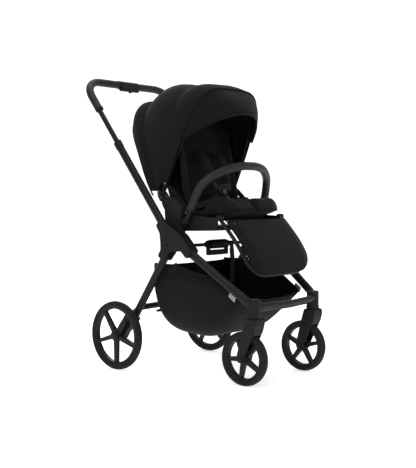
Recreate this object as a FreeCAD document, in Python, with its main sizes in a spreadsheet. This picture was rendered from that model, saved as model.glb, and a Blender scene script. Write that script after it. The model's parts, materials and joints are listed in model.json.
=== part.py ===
import FreeCAD, Part
import math
import os
import Sketcher
from FreeCAD import Placement, Rotation, Vector

# Baby stroller: folding frame, reversible seat unit, canopy, basket and four wheels.
# Front of the stroller faces -Y, +Z is up, the floor is Z = 0 and X = 0 is the middle.
# "left" is the +X side, the left hand of a person pushing it. Lengths are millimetres.

os.makedirs("parts", exist_ok=True)
doc = FreeCAD.newDocument("baby_stroller")
sheet = doc.addObject("Spreadsheet::Sheet", "sizes")

SIZES = [
    # wheels and their stance
    ("wheel_base", 560, "front axle to rear axle"),
    ("rear_wheel_dia", 265, "over the tyre"),
    ("rear_tyre_width", 31, "across the tyre"),
    ("rear_tyre_depth", 20, "tyre thickness on the radius"),
    ("rear_track", 544, "between the middle planes of the rear wheels"),
    ("front_wheel_dia", 194, "over the tyre"),
    ("front_tyre_width", 35, "across the tyre"),
    ("front_tyre_depth", 17, "tyre thickness on the radius"),
    ("front_track", 362.8, "between the two swivel axes"),
    ("caster_trail", 42.6, "swivel axis ahead of the front axle"),
    ("spoke_count", 5, "spokes in each wheel"),
    ("spoke_width", 15, "width of a spoke"),
    ("spoke_thick", 16, "depth of a spoke along the axle"),
    ("axle_rad", 6, "radius of every axle and pivot pin"),
    ("running_gap", 0.06, "radial clearance of a pin in its bore"),
    # oval frame tubes
    ("tube_tall", 32, "tall side of the oval tube"),
    ("tube_wide", 25, "narrow side of the oval tube, across the stroller"),
    ("tube_wall", 2.2, "wall of the tubes"),
    ("tube_gauge", 490, "between the two upper tube centre lines"),
    ("tube_angle", 52.2, "slope of the upper tubes in degrees"),
    ("pivot_height", 537.2, "height of the handle fold pivot"),
    ("pivot_back", 34.3, "fold pivot behind the middle of the wheel base"),
    ("rear_pivot_drop", 68.8, "rear leg pivot below the handle pivot"),
    ("sleeve_length", 432, "fold pivot to the top of the outer sleeve"),
    ("handle_length", 754, "fold pivot to the middle of the handle bar"),
    ("handle_tube_rad", 10, "inner sliding tube"),
    ("handle_corner", 88, "bend radius of the handle bar"),
    ("grip_rad", 15.5, "padded handle grip"),
    ("grip_start", 600, "fold pivot to the lower end of the grip"),
    ("front_leg_top_half", 249, "half gauge of the front legs at the hub"),
    ("front_leg_low_half", 194, "half gauge of the front legs at the front corner"),
    ("front_leg_slope", 35.8, "slope of the front legs in degrees"),
    ("front_leg_run", 287, "hub to the front bar, measured level"),
    ("front_corner_rad", 62, "bend radius of the front corners"),
    ("rear_leg_half", 240.5, "half gauge of the rear legs"),
    ("hub_out", 265.5, "outer face of the hub from the middle"),
    ("hub_in", 220, "inner face of the hub from the middle"),
    ("knuckle_rad", 20, "rounded ends of the folding tubes"),
    ("cross_rod_rad", 6.3, "fold rod between the hubs"),
    ("cross_rod_height", 486, "height of the fold rod"),
    ("latch_length", 96, "barrel of the fold latch"),
    # seat unit
    ("seat_half", 194, "half width of the seat shell"),
    ("seat_height", 545, "underside of the seat shell"),
    ("seat_front", 162, "front edge of the seat shell ahead of the middle"),
    ("recline_back", 62, "recline pivot behind the middle"),
    ("recline_height", 600, "height of the recline pivot"),
    ("canopy_back", 100, "canopy hinge behind the middle"),
    ("canopy_height", 664, "height of the canopy hinge"),
    ("canopy_half", 207, "half width of the canopy hoop"),
    ("hoop_reach", 445, "canopy hinge to the top of the front hoop"),
    ("hoop_angle", 113.2, "front hoop, degrees up from straight back"),
    ("mid_rib_angle", 98, "middle rib"),
    ("rear_rib_angle", 67, "rear rib"),
    ("visor_out", 90, "brow edge of the sun visor ahead of the hoop"),
    ("rear_rim_angle", 54, "rear edge of the canopy"),
    ("bumper_half", 212, "half width of the bumper bar"),
    ("bumper_grip_rad", 15.5, "padded bumper bar"),
    ("bumper_arm_rad", 9, "bare ends of the bumper bar"),
    ("footrest_half", 171, "half width of the footrest pad"),
    ("footrest_back", -165, "footrest hinge from the middle"),
    ("footrest_height", 597, "height of the footrest hinge"),
    ("basket_half", 212, "half width of the basket"),
    ("fabric_thick", 4, "cloth wall of the basket and canopy"),
]
for row, (name, value, note) in enumerate(SIZES, start=1):
    sheet.set("A%d" % row, name)
    sheet.set("B%d" % row, str(value))
    sheet.set("C%d" % row, note)
    sheet.setAlias("B%d" % row, name)
doc.recompute()


def size(name):
    """One driving size from the sheet."""
    return float(sheet.get(name))


X = Vector(1, 0, 0)
Y = Vector(0, 1, 0)
Z = Vector(0, 0, 1)
ORIGIN = Vector(0, 0, 0)

AXLE = size("axle_rad")
BORE = AXLE + size("running_gap")
FRONT_R = size("front_wheel_dia") / 2
REAR_R = size("rear_wheel_dia") / 2
FRONT_AXLE_Y = -size("wheel_base") / 2
REAR_AXLE_Y = size("wheel_base") / 2
SWIVEL_Y = FRONT_AXLE_Y - size("caster_trail")
SWIVEL_X = size("front_track") / 2
REAR_X = size("rear_track") / 2
TUBE_X = size("tube_gauge") / 2
HALF_TALL = size("tube_tall") / 2
HALF_WIDE = size("tube_wide") / 2
PIVOT_Y = size("pivot_back")
PIVOT_Z = size("pivot_height")
REAR_PIVOT_Y = PIVOT_Y - 0.8
REAR_PIVOT_Z = PIVOT_Z - size("rear_pivot_drop")
UP_ANGLE = math.radians(size("tube_angle"))
GRIP_R = size("grip_rad")

# The part's origin sits on the floor under the middle of the overall box.
front_edge = FRONT_AXLE_Y - FRONT_R
handle_y = PIVOT_Y + size("handle_length") * math.cos(UP_ANGLE)
back_edge = max(handle_y + GRIP_R, REAR_AXLE_Y + REAR_R)
CENTRE_Y = (front_edge + back_edge) / 2


def at(x, y, z):
    """A point given from the middle of the wheel base, moved to the part's origin."""
    return Vector(x, y - CENTRE_Y, z)


made = []


def feature(label, shape):
    """A shaped sub-part under its own label."""
    obj = doc.addObject("Part::Feature", label)
    obj.Label = label
    obj.Shape = shape
    obj.Placement = Placement()
    made.append(obj)
    return obj


def mirrored(shape):
    """The same shape on the other side of the stroller."""
    return shape.mirror(ORIGIN, X)


def pair(name, left_shape):
    """A left sub-part and its mirror image on the right."""
    feature(name + "_left", left_shape)
    feature(name + "_right", mirrored(left_shape))


def rod(start, end, radius):
    """A round rod between two points."""
    run = end - start
    return Part.makeCylinder(radius, run.Length, start, run)


def disc(x0, x1, y, z, radius):
    """A round disc or boss lying across the stroller from x0 to x1."""
    return Part.makeCylinder(radius, x1 - x0, at(x0, y, z), X)


def block(x0, x1, y0, y1, z0, z1):
    """A plain block between limits."""
    return Part.makeBox(x1 - x0, y1 - y0, z1 - z0, at(x0, y0, z0))


def corner_path(points, radii):
    """Straight runs joined by round bends; radii has one bend for each inner point."""
    edges = []
    last = points[0]
    for i, radius in enumerate(radii, start=1):
        before = (points[i - 1] - points[i]).normalize()
        after = (points[i + 1] - points[i]).normalize()
        half = before.getAngle(after) / 2
        trim = radius / math.tan(half)
        bend_in = points[i] + before * trim
        bend_out = points[i] + after * trim
        inward = (before + after).normalize()
        middle = points[i] + inward * (radius / math.sin(half) - radius)
        edges.append(Part.makeLine(last, bend_in))
        edges.append(Part.Arc(bend_in, middle, bend_out).toShape())
        last = bend_out
    edges.append(Part.makeLine(last, points[-1]))
    return Part.Wire(edges)


def bent_path(points):
    """Straight runs joined by the roundest bends that fit between the points."""
    radii = []
    for before, corner, after in zip(points, points[1:], points[2:]):
        half_angle = (before - corner).getAngle(after - corner) / 2
        shorter = min((before - corner).Length, (after - corner).Length)
        radii.append(0.45 * shorter * math.tan(half_angle))
    return corner_path(points, radii)


def smooth_path(points):
    """One smooth curve through the points."""
    curve = Part.BSplineCurve()
    curve.interpolate(points)
    return Part.Wire([curve.toShape()])


def oval(centre, tall_axis, wide_axis, half_tall, half_wide):
    """Closed oval section with its tall and narrow directions."""
    big = centre + tall_axis * half_tall
    small = centre + wide_axis * half_wide
    if half_tall < half_wide:
        big, small = small, big
    return Part.Wire([Part.Ellipse(big, small, centre).toShape()])


def sweep(path, profile, normal=None):
    """A solid carried along a path; a flat path keeps its section square to normal."""
    shell = Part.BRepOffsetAPI.MakePipeShell(path)
    if normal is not None:
        shell.setBiNormalMode(normal)
    shell.add(profile)
    shell.build()
    shell.makeSolid()
    return shell.shape()


def round_tube(path, radius):
    """A round bar along any path."""
    start = path.OrderedEdges[0]
    point = start.valueAt(start.FirstParameter)
    along = start.tangentAt(start.FirstParameter)
    ring = Part.Wire([Part.makeCircle(radius, point, along)])
    return sweep(path, ring)


def slab(outline, x0, x1):
    """A flat side-view outline of (y, z) points given thickness across the stroller."""
    wire = Part.makePolygon([at(x0, y, z) for y, z in outline + outline[:1]])
    return Part.Face(wire).extrude(Vector(x1 - x0, 0, 0))


def side_edges(shape):
    """Straight edges that run across the stroller."""
    found = []
    for edge in shape.Edges:
        if edge.Curve.TypeId != "Part::GeomLine":
            continue
        run = edge.Vertexes[-1].Point - edge.Vertexes[0].Point
        if abs(run.x) > 0.99 * run.Length:
            found.append(edge)
    return found


def rounded(shape, radius, edges=None):
    """Soften edges; the plain shape stays if the radius can't be made."""
    try:
        soft = shape.makeFillet(radius, edges if edges is not None else shape.Edges)
    except Part.OCCError:
        return shape
    if soft.isNull() or not soft.isValid() or soft.Volume > shape.Volume * 1.02:
        return shape
    return soft


def soft_slab(outline, x0, x1, corner, edge):
    """A side-view slab with rounded outline corners and softened rims."""
    shape = slab(outline, x0, x1)
    shape = rounded(shape, corner, side_edges(shape))
    return rounded(shape, edge) if edge else shape


# ---------------------------------------------------------------- front frame
slope = math.radians(size("front_leg_slope"))
leg_half_top = size("front_leg_top_half")
leg_half_low = size("front_leg_low_half")
leg_run = size("front_leg_run")
LEG_TOP_Y = -44.0
LEG_TOP_Z = PIVOT_Z - 47.2
leg_end_y = LEG_TOP_Y - leg_run
leg_end_z = LEG_TOP_Z - leg_run * math.tan(slope)
BAR_BOW = 7.0
leg_plane_normal = Vector(0, -math.sin(slope), math.cos(slope))


def leg_point(half, y):
    """A point of the sloping plane that holds the front frame."""
    return at(half, y, LEG_TOP_Z + (y - LEG_TOP_Y) * math.tan(slope))


frame_points = [
    leg_point(leg_half_top, LEG_TOP_Y),
    leg_point(leg_half_low, leg_end_y),
    leg_point(0, leg_end_y - BAR_BOW),
    leg_point(-leg_half_low, leg_end_y),
    leg_point(-leg_half_top, LEG_TOP_Y),
]
corner = size("front_corner_rad")
frame_path = corner_path(frame_points, [corner, 900, corner])
leg_along = (frame_points[1] - frame_points[0]).normalize()
leg_side = leg_plane_normal.cross(leg_along).normalize()
wall = size("tube_wall")


def frame_sweep(shrink):
    """The front frame bar, full size or smaller by shrink on every side."""
    profile = oval(frame_points[0], leg_plane_normal, leg_side, HALF_TALL - shrink, HALF_WIDE - 0.5 - shrink)
    return sweep(frame_path, profile, leg_plane_normal)


frame_solid = frame_sweep(0)
feature("front_frame", frame_solid.cut(frame_sweep(wall)))

# ---------------------------------------------------------------- hubs
hub_out = size("hub_out")
hub_in = size("hub_in")
PLATE_GAP_OUT = TUBE_X + HALF_WIDE + 0.8
PLATE_GAP_IN = size("rear_leg_half") - 12 - 0.5
up = Vector(0, math.cos(UP_ANGLE), math.sin(UP_ANGLE))
up_normal = Vector(0, -math.sin(UP_ANGLE), math.cos(UP_ANGLE))


def along_tube(distance, offset=0):
    """(y, z) on the upper tube's centre line, distance from the fold pivot."""
    y = PIVOT_Y + up.y * distance + up_normal.y * offset
    z = PIVOT_Z + up.z * distance + up_normal.z * offset
    return y, z


def along_leg(y, offset):
    """(y, z) on the front leg's centre line, moved square to it by offset."""
    z = LEG_TOP_Z + (y - LEG_TOP_Y) * math.tan(slope)
    return y - math.sin(slope) * offset, z + math.cos(slope) * offset


REAR_LEG_SLOPE = math.atan2(REAR_PIVOT_Z - REAR_R, REAR_AXLE_Y - 18 - REAR_PIVOT_Y)


def along_rear(distance, offset=0):
    """(y, z) on the rear leg's centre line, distance below its pivot."""
    cos_r, sin_r = math.cos(REAR_LEG_SLOPE), math.sin(REAR_LEG_SLOPE)
    return REAR_PIVOT_Y + cos_r * distance + sin_r * offset, REAR_PIVOT_Z - sin_r * distance + cos_r * offset


hub_outline = [
    along_tube(46, -HALF_TALL - 1),
    (PIVOT_Y + 23, PIVOT_Z - 3),
    (PIVOT_Y + 19, REAR_PIVOT_Z + 34),
    along_rear(6, HALF_TALL + 3),
    along_rear(34, HALF_TALL + 1),
    along_rear(36, -HALF_TALL - 1),
    (PIVOT_Y - 27, REAR_PIVOT_Z - 1),
    (LEG_TOP_Y - 4, REAR_PIVOT_Z + 2.5),
    along_leg(LEG_TOP_Y - 44, -HALF_TALL - 2.5),
    along_leg(LEG_TOP_Y - 44, HALF_TALL + 2.5),
    (LEG_TOP_Y - 4, PIVOT_Z - 8),
    along_tube(52, HALF_TALL + 1),
]
hub_body = slab(hub_outline, hub_in, hub_out)
hub_body = rounded(hub_body, 9, side_edges(hub_body))
outer_rim = [e for e in hub_body.Edges if all(abs(v.Point.x - hub_out) < 0.01 for v in e.Vertexes)]
hub_body = rounded(hub_body, 3, outer_rim)
inner_rim = [e for e in hub_body.Edges if all(abs(v.Point.x - hub_in) < 0.01 for v in e.Vertexes)]
hub_body = rounded(hub_body, 2, inner_rim)
slot_front = LEG_TOP_Y + 16
fold_slot = block(PLATE_GAP_IN, PLATE_GAP_OUT, slot_front, 160, 380, 660)
hub_body = hub_body.cut(fold_slot)
# the outer skin of the slot is open upwards so the handle tube can swing forward over the leg
swing_room = slab(
    [(slot_front + 1, 660), (LEG_TOP_Y - 80, 660), (LEG_TOP_Y - 80, PIVOT_Z - HALF_TALL - 2), (slot_front + 1, PIVOT_Z - HALF_TALL - 2)],
    PLATE_GAP_IN,
    PLATE_GAP_OUT,
)
hub_body = hub_body.cut(swing_room)
hub_body = hub_body.cut(frame_solid)
hub_body = hub_body.fuse(disc(PLATE_GAP_IN - 2, PLATE_GAP_OUT + 2, PIVOT_Y, PIVOT_Z, AXLE))
hub_body = hub_body.fuse(disc(PLATE_GAP_IN - 2, PLATE_GAP_OUT + 2, REAR_PIVOT_Y, REAR_PIVOT_Z, AXLE))
SOCKET_R = 4.0
SOCKET_DEPTH = 5.5
SOCKET_Y = PIVOT_Y - 17.8
SOCKET_Z = PIVOT_Z - 44.7
hub_body = hub_body.cut(disc(hub_out - SOCKET_DEPTH, hub_out + 1, SOCKET_Y, SOCKET_Z, SOCKET_R))
pair("hub", hub_body.removeSplitter())

# ---------------------------------------------------------------- fold rod and latch
rod_z = size("cross_rod_height")
fold_rod = doc.addObject("Part::Cylinder", "fold_rod")
fold_rod.Label = "fold_rod"
fold_rod.setExpression("Radius", "sizes.cross_rod_rad")
fold_rod.setExpression("Height", "sizes.hub_in * 2")
fold_rod.Placement = Placement(at(-hub_in, 0, rod_z), Rotation(Z, X))
made.append(fold_rod)
doc.recompute()

latch_half = size("latch_length") / 2
latch = disc(-latch_half, latch_half, 0, rod_z, 17.5)
latch = rounded(latch, 3)
latch = latch.fuse(disc(-latch_half - 20, latch_half + 20, 0, rod_z, 10.5))
latch = latch.cut(disc(-400, 400, 0, rod_z, size("cross_rod_rad")))
thumb_slot = block(-14, 14, -30, -14, rod_z - 5, rod_z + 5)
latch = latch.cut(thumb_slot)
feature("fold_latch_housing", latch.removeSplitter())

arm_in = latch_half + 2.0
arm_out = arm_in + 7
latch_grip = rounded(block(-arm_out, arm_out, -8, 8, rod_z - 42, rod_z - 22), 4)
for sign in (-1, 1):
    x0, x1 = sorted((sign * arm_in, sign * arm_out))
    ear = disc(x0, x1, 0, rod_z, 15).fuse(block(x0, x1, -8, 8, rod_z - 40, rod_z))
    latch_grip = latch_grip.fuse(ear)
latch_grip = latch_grip.cut(disc(-400, 400, 0, rod_z, 10.5 + size("running_gap")))
feature("fold_handle", latch_grip.removeSplitter())

# ---------------------------------------------------------------- upper tubes and handle
tube_bore = size("handle_tube_rad") + size("running_gap")


def tube_at(x, distance, offset=0):
    y, z = along_tube(distance, offset)
    return at(x, y, z)


sleeve_path = Part.Wire([Part.makeLine(tube_at(TUBE_X, 0), tube_at(TUBE_X, size("sleeve_length")))])
sleeve = sweep(sleeve_path, oval(tube_at(TUBE_X, 0), up_normal, X, HALF_TALL, HALF_WIDE), X)
sleeve = sleeve.cut(disc(TUBE_X - 40, TUBE_X + 40, PIVOT_Y, PIVOT_Z, size("knuckle_rad") + 0.01))
sleeve = sleeve.fuse(disc(TUBE_X - HALF_WIDE, TUBE_X + HALF_WIDE, PIVOT_Y, PIVOT_Z, size("knuckle_rad")))
collar = sweep(
    Part.Wire([Part.makeLine(tube_at(TUBE_X, size("sleeve_length") - 26), tube_at(TUBE_X, size("sleeve_length")))]),
    oval(tube_at(TUBE_X, size("sleeve_length") - 26), up_normal, X, HALF_TALL + 1.6, HALF_WIDE + 1.6),
    X,
)
sleeve = sleeve.fuse(collar)
sleeve = sleeve.cut(rod(tube_at(TUBE_X, 60), tube_at(TUBE_X, size("sleeve_length") + 1), tube_bore))
sleeve = sleeve.cut(disc(TUBE_X - 40, TUBE_X + 40, PIVOT_Y, PIVOT_Z, BORE))
pair("upper_tube", sleeve.removeSplitter())

bar = size("handle_length")
TUBE_FOOT = 190.0
handle_path = corner_path(
    [tube_at(TUBE_X, TUBE_FOOT), tube_at(TUBE_X, bar), tube_at(-TUBE_X, bar), tube_at(-TUBE_X, TUBE_FOOT)],
    [size("handle_corner")] * 2,
)
handle_tube = round_tube(handle_path, size("handle_tube_rad"))
handle_core = round_tube(handle_path, size("handle_tube_rad") - 1.6)
feature("handle_tube", handle_tube.cut(handle_core))

grip_path = corner_path(
    [tube_at(TUBE_X, size("grip_start")), tube_at(TUBE_X, bar), tube_at(-TUBE_X, bar), tube_at(-TUBE_X, size("grip_start"))],
    [size("handle_corner")] * 2,
)
release_half = 56.0
release_cut = disc(-release_half, release_half, *along_tube(bar), GRIP_R + 6)
grip = round_tube(grip_path, GRIP_R).cut(handle_tube).cut(release_cut)
feature("handle_grip", grip.removeSplitter())

release = disc(-release_half, release_half, *along_tube(bar), GRIP_R + 1.5)
chin_path = Part.Wire([Part.makeLine(tube_at(-release_half + 8, bar - 16), tube_at(release_half - 8, bar - 16))])
chin = sweep(chin_path, oval(tube_at(-release_half + 8, bar - 16), up, up_normal, 14, 12), up_normal)
release = rounded(release, 2).fuse(chin).cut(handle_tube)
BUTTON_TRAVEL = 3.0
button_bore = rod(tube_at(0, bar - 40), tube_at(0, bar - 40) + Vector(0, 0, 0) + (up * 24), 9.3)
release = release.cut(button_bore)
feature("release_housing", release.removeSplitter())
button = rod(tube_at(0, bar - 34.5), tube_at(0, bar - 20.0), 9.0)
button = rounded(button, 1.2)
feature("release_button", button)

# ---------------------------------------------------------------- rear legs and axle
rear_half = size("rear_leg_half")


def rear_at(x, distance, offset=0):
    y, z = along_rear(distance, offset)
    return at(x, y, z)


leg_len = math.hypot(REAR_AXLE_Y - 18 - REAR_PIVOT_Y, REAR_PIVOT_Z - REAR_R)
rear_dir = (rear_at(0, 10) - rear_at(0, 0)).normalize()
rear_out = (rear_at(0, 0, 10) - rear_at(0, 0, 0)).normalize()
LEG_SHOE = leg_len - 92
leg_path = Part.Wire([Part.makeLine(rear_at(rear_half, 0), rear_at(rear_half, LEG_SHOE + 30))])
rear_leg = sweep(leg_path, oval(rear_at(rear_half, 0), rear_out, X, HALF_TALL - 0.5, 12), X)
rear_core_path = Part.Wire([Part.makeLine(rear_at(rear_half, 40), rear_at(rear_half, LEG_SHOE + 31))])
rear_leg = rear_leg.cut(sweep(rear_core_path, oval(rear_at(rear_half, 40), rear_out, X, HALF_TALL - 0.5 - wall, 12 - wall), X))
knuckle = disc(rear_half - 12, rear_half + 12, REAR_PIVOT_Y, REAR_PIVOT_Z, size("knuckle_rad"))
rear_leg = rear_leg.cut(knuckle).fuse(knuckle)
rear_leg = rear_leg.cut(disc(rear_half - 40, rear_half + 40, REAR_PIVOT_Y, REAR_PIVOT_Z, BORE))
rear_leg_solid_path = Part.Wire([Part.makeLine(rear_at(rear_half, 60), rear_at(rear_half, LEG_SHOE + 30))])
rear_leg_solid = sweep(rear_leg_solid_path, oval(rear_at(rear_half, 60), rear_out, X, HALF_TALL - 0.5, 12), X)
pair("rear_leg", rear_leg.removeSplitter())

# moulded shoe from the foot of the leg down to the axle, kept just inside the wheel
shoe_out = REAR_X - size("rear_tyre_width") / 2 - 2.5
shoe_in = rear_half - 16
shoe_outline = [
    along_rear(LEG_SHOE - 4, HALF_TALL + 3),
    (REAR_AXLE_Y + 17, REAR_R + 14),
    (REAR_AXLE_Y + 19, REAR_R - 8),
    (REAR_AXLE_Y + 6, REAR_R - 19),
    (REAR_AXLE_Y - 14, REAR_R - 14),
    (REAR_AXLE_Y - 27, REAR_R + 8),
    along_rear(LEG_SHOE - 4, -HALF_TALL - 3),
]
shoe = slab(shoe_outline, shoe_in, shoe_out)
shoe = rounded(shoe, 7, side_edges(shoe))
shoe = rounded(shoe, 1.5)
shoe = shoe.cut(rear_leg_solid)
BEAM_Z = REAR_R + 108
BEAM_Y = REAR_AXLE_Y - 44
beam_points = [
    at(shoe_in + 6, REAR_AXLE_Y - 46, REAR_R + 82),
    at(shoe_in - 38, BEAM_Y, BEAM_Z - 4),
    at(0, BEAM_Y - 4, BEAM_Z),
    at(-shoe_in + 38, BEAM_Y, BEAM_Z - 4),
    at(-shoe_in - 6, REAR_AXLE_Y - 46, REAR_R + 82),
]
beam_path = corner_path(beam_points, [40, 1500, 40])
beam_solid = round_tube(beam_path, 12)
beam_core = round_tube(beam_path, 10)
shoe = shoe.cut(beam_solid)
axle_end = REAR_X + size("rear_tyre_width") / 2 - 2
stub = disc(shoe_in - 4, axle_end, REAR_AXLE_Y, REAR_R, AXLE)
shoe = shoe.cut(stub)
pair("rear_shoe", shoe.removeSplitter())
feature("rear_axles", Part.makeCompound([stub, mirrored(stub)]))

# foot brake: a pedal on a cheek of the beam, swinging on its own short pin
BRAKE_Y = BEAM_Y + 2
BRAKE_Z = BEAM_Z - 24
cheeks = disc(-34, -29, BRAKE_Y, BRAKE_Z, 10).fuse(disc(29, 34, BRAKE_Y, BRAKE_Z, 10))
cheeks = cheeks.fuse(block(-34, -29, BRAKE_Y - 10, BRAKE_Y + 10, BRAKE_Z, BEAM_Z - 2))
cheeks = cheeks.fuse(block(29, 34, BRAKE_Y - 10, BRAKE_Y + 10, BRAKE_Z, BEAM_Z - 2))
cheeks = cheeks.fuse(disc(-34, 34, BRAKE_Y, BRAKE_Z, 4))
beam = beam_solid.cut(beam_core).fuse(cheeks.cut(beam_solid))
feature("rear_beam", beam.removeSplitter())
pedal_outline = [
    (BRAKE_Y - 10, BRAKE_Z + 7),
    (BRAKE_Y + 8, BRAKE_Z + 9),
    (BRAKE_Y + 66, BRAKE_Z - 12),
    (BRAKE_Y + 68, BRAKE_Z - 20),
    (BRAKE_Y + 50, BRAKE_Z - 19),
    (BRAKE_Y - 8, BRAKE_Z - 8),
]
pedal = soft_slab(pedal_outline, -28, 28, 3, 1.2)
pedal = pedal.cut(disc(-40, 40, BRAKE_Y, BRAKE_Z, 4 + size("running_gap")))
feature("brake_pedal", pedal)

# ---------------------------------------------------------------- wheels
def origin_plane(body, role):
    """One of the body's own origin planes."""
    return next(f for f in body.Origin.OriginFeatures if f.Role == role)


def loop_sketch(body, role, name, loops):
    """A sketch of closed straight-sided loops on an origin plane of the body."""
    sketch = body.newObject("Sketcher::SketchObject", name)
    sketch.AttachmentSupport = (origin_plane(body, role), [""])
    sketch.MapMode = "FlatFace"
    for loop in loops:
        first = sketch.GeometryCount
        count = len(loop)
        for i in range(count):
            a, b = loop[i], loop[(i + 1) % count]
            sketch.addGeometry(Part.LineSegment(Vector(a[0], a[1], 0), Vector(b[0], b[1], 0)))
        for i in range(count):
            sketch.addConstraint(Sketcher.Constraint("Coincident", first + i, 2, first + (i + 1) % count, 1))
    return sketch


def new_body(label, placement):
    body = doc.addObject("PartDesign::Body", label)
    body.Label = label
    body.Placement = placement
    made.append(body)
    return body


def add_revolution(body, name, loops):
    """Turn loops of (radius, height) points about the body's own Z axis."""
    profile = loop_sketch(body, "XZ_Plane", name + "_profile", loops)
    turn = body.newObject("PartDesign::Revolution", name)
    turn.Profile = profile
    turn.ReferenceAxis = (profile, ["V_Axis"])
    turn.Angle = 360
    return turn


def wheel_parts(name, placement, radius, width, depth, hub_radius, hub_width):
    """A spoked rim and its tyre, both bodies of revolution about the axle."""
    half = width / 2
    rim_r = radius - depth
    tyre = new_body(name + "_tyre", placement)
    crown = half * 0.50
    shoulder = half * 0.92
    profile = [
        (rim_r, -half + 3),
        (rim_r + depth * 0.45, -half),
        (radius - depth * 0.30, -shoulder),
        (radius - depth * 0.06, -crown),
        (radius, -crown * 0.35),
        (radius, crown * 0.35),
        (radius - depth * 0.06, crown),
        (radius - depth * 0.30, shoulder),
        (rim_r + depth * 0.45, half),
        (rim_r, half - 3),
    ]
    add_revolution(tyre, name + "_tyre_turn", [profile])
    rim = new_body(name + "_rim", placement)
    ring = [
        (rim_r - 9, -half + 7),
        (rim_r, -half + 4),
        (rim_r, half - 4),
        (rim_r - 9, half - 7),
    ]
    hub_half = hub_width / 2
    hub = [
        (BORE, -hub_half),
        (hub_radius - 2, -hub_half),
        (hub_radius, -hub_half + 2),
        (hub_radius, hub_half - 3),
        (hub_radius - 3, hub_half),
        (BORE, hub_half),
    ]
    add_revolution(rim, name + "_rim_turn", [ring, hub])
    root, tip = hub_radius - 3, rim_r - 5
    wide = size("spoke_width")
    outline = [(root, -wide * 0.62), (tip, -wide * 0.42), (tip, wide * 0.42), (root, wide * 0.62)]
    arm = loop_sketch(rim, "XY_Plane", name + "_spoke_outline", [outline])
    pad = rim.newObject("PartDesign::Pad", name + "_spoke")
    pad.Profile = arm
    pad.setExpression("Length", "sizes.spoke_thick")
    pad.Midplane = True
    ring_pattern = rim.newObject("PartDesign::PolarPattern", name + "_spokes")
    ring_pattern.Originals = [pad]
    ring_pattern.Axis = (arm, ["N_Axis"])
    ring_pattern.Angle = 360
    ring_pattern.setExpression("Occurrences", "sizes.spoke_count")
    rim.Tip = ring_pattern
    return rim, tyre


def axle_placement(x, y, z, spin):
    """Axle frame with body Z along the stroller's X and the first spoke turned by spin."""
    return Placement(at(x, y, z), Rotation(X, spin).multiply(Rotation(Z, X)))


for side, name in ((1, "left"), (-1, "right")):
    wheel_parts(
        "rear_wheel_" + name,
        axle_placement(side * REAR_X, REAR_AXLE_Y, REAR_R, 0 if side < 0 else 25),
        REAR_R,
        size("rear_tyre_width"),
        size("rear_tyre_depth"),
        20,
        size("rear_tyre_width") - 3,
    )
    wheel_parts(
        "front_wheel_" + name,
        axle_placement(side * SWIVEL_X, FRONT_AXLE_Y, FRONT_R, 12 if side < 0 else 40),
        FRONT_R,
        size("front_tyre_width"),
        size("front_tyre_depth"),
        17,
        size("front_tyre_width") + 3,
    )
doc.recompute()

# ---------------------------------------------------------------- swivel housings and forks
HOUSING_LOW = FRONT_R + 148
HOUSING_HIGH = 311.0
HOUSING_R = 23.0
swivel = Vector(SWIVEL_X, SWIVEL_Y - CENTRE_Y, 0)


def upright(radius, low, high):
    """A round post on the swivel axis."""
    return Part.makeCylinder(radius, high - low, swivel + Z * low, Z)


housing = rounded(upright(HOUSING_R, HOUSING_LOW, HOUSING_HIGH), 3)
housing = housing.fuse(upright(HOUSING_R + 1.5, HOUSING_LOW, HOUSING_LOW + 9))
housing = housing.cut(frame_solid)
housing = housing.cut(upright(AXLE + size("running_gap"), HOUSING_LOW - 1, HOUSING_LOW + 22))
solids = sorted(housing.Solids, key=lambda s: s.Volume)
pair("swivel_housing", solids[-1])

fork_half = size("front_tyre_width") / 2 + 3
fork_out = fork_half + 7
crown_top = HOUSING_LOW - 1.5
fork_outline = [
    (SWIVEL_Y - 24, crown_top),
    (SWIVEL_Y - 27, crown_top - 18),
    (SWIVEL_Y - 20, crown_top - 44),
    (FRONT_AXLE_Y - 16, FRONT_R + 8),
    (FRONT_AXLE_Y - 11, FRONT_R - 11),
    (FRONT_AXLE_Y + 11, FRONT_R - 12),
    (FRONT_AXLE_Y + 17, FRONT_R + 6),
    (SWIVEL_Y + 34, crown_top - 40),
    (SWIVEL_Y + 22, crown_top),
]
fork = slab(fork_outline, SWIVEL_X - fork_out, SWIVEL_X + fork_out)
fork = rounded(fork, 7, side_edges(fork))
fork = rounded(fork, 2)
clear_r = FRONT_R + 5
fork = fork.cut(disc(SWIVEL_X - fork_half, SWIVEL_X + fork_half, FRONT_AXLE_Y, FRONT_R, clear_r))
fork = fork.fuse(upright(AXLE, crown_top - 12, HOUSING_LOW + 20))
front_axle = disc(SWIVEL_X - fork_out - 1, SWIVEL_X + fork_out + 1, FRONT_AXLE_Y, FRONT_R, AXLE)
fork = fork.cut(front_axle)
pair("front_fork", fork.removeSplitter())
pair("front_axle", front_axle)

# ---------------------------------------------------------------- seat unit
seat_half = size("seat_half")
seat_z = size("seat_height")
seat_front = -size("seat_front")
RECLINE_Y = size("recline_back")
RECLINE_Z = size("recline_height")
CANOPY_Y = size("canopy_back")
CANOPY_Z = size("canopy_height")

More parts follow.
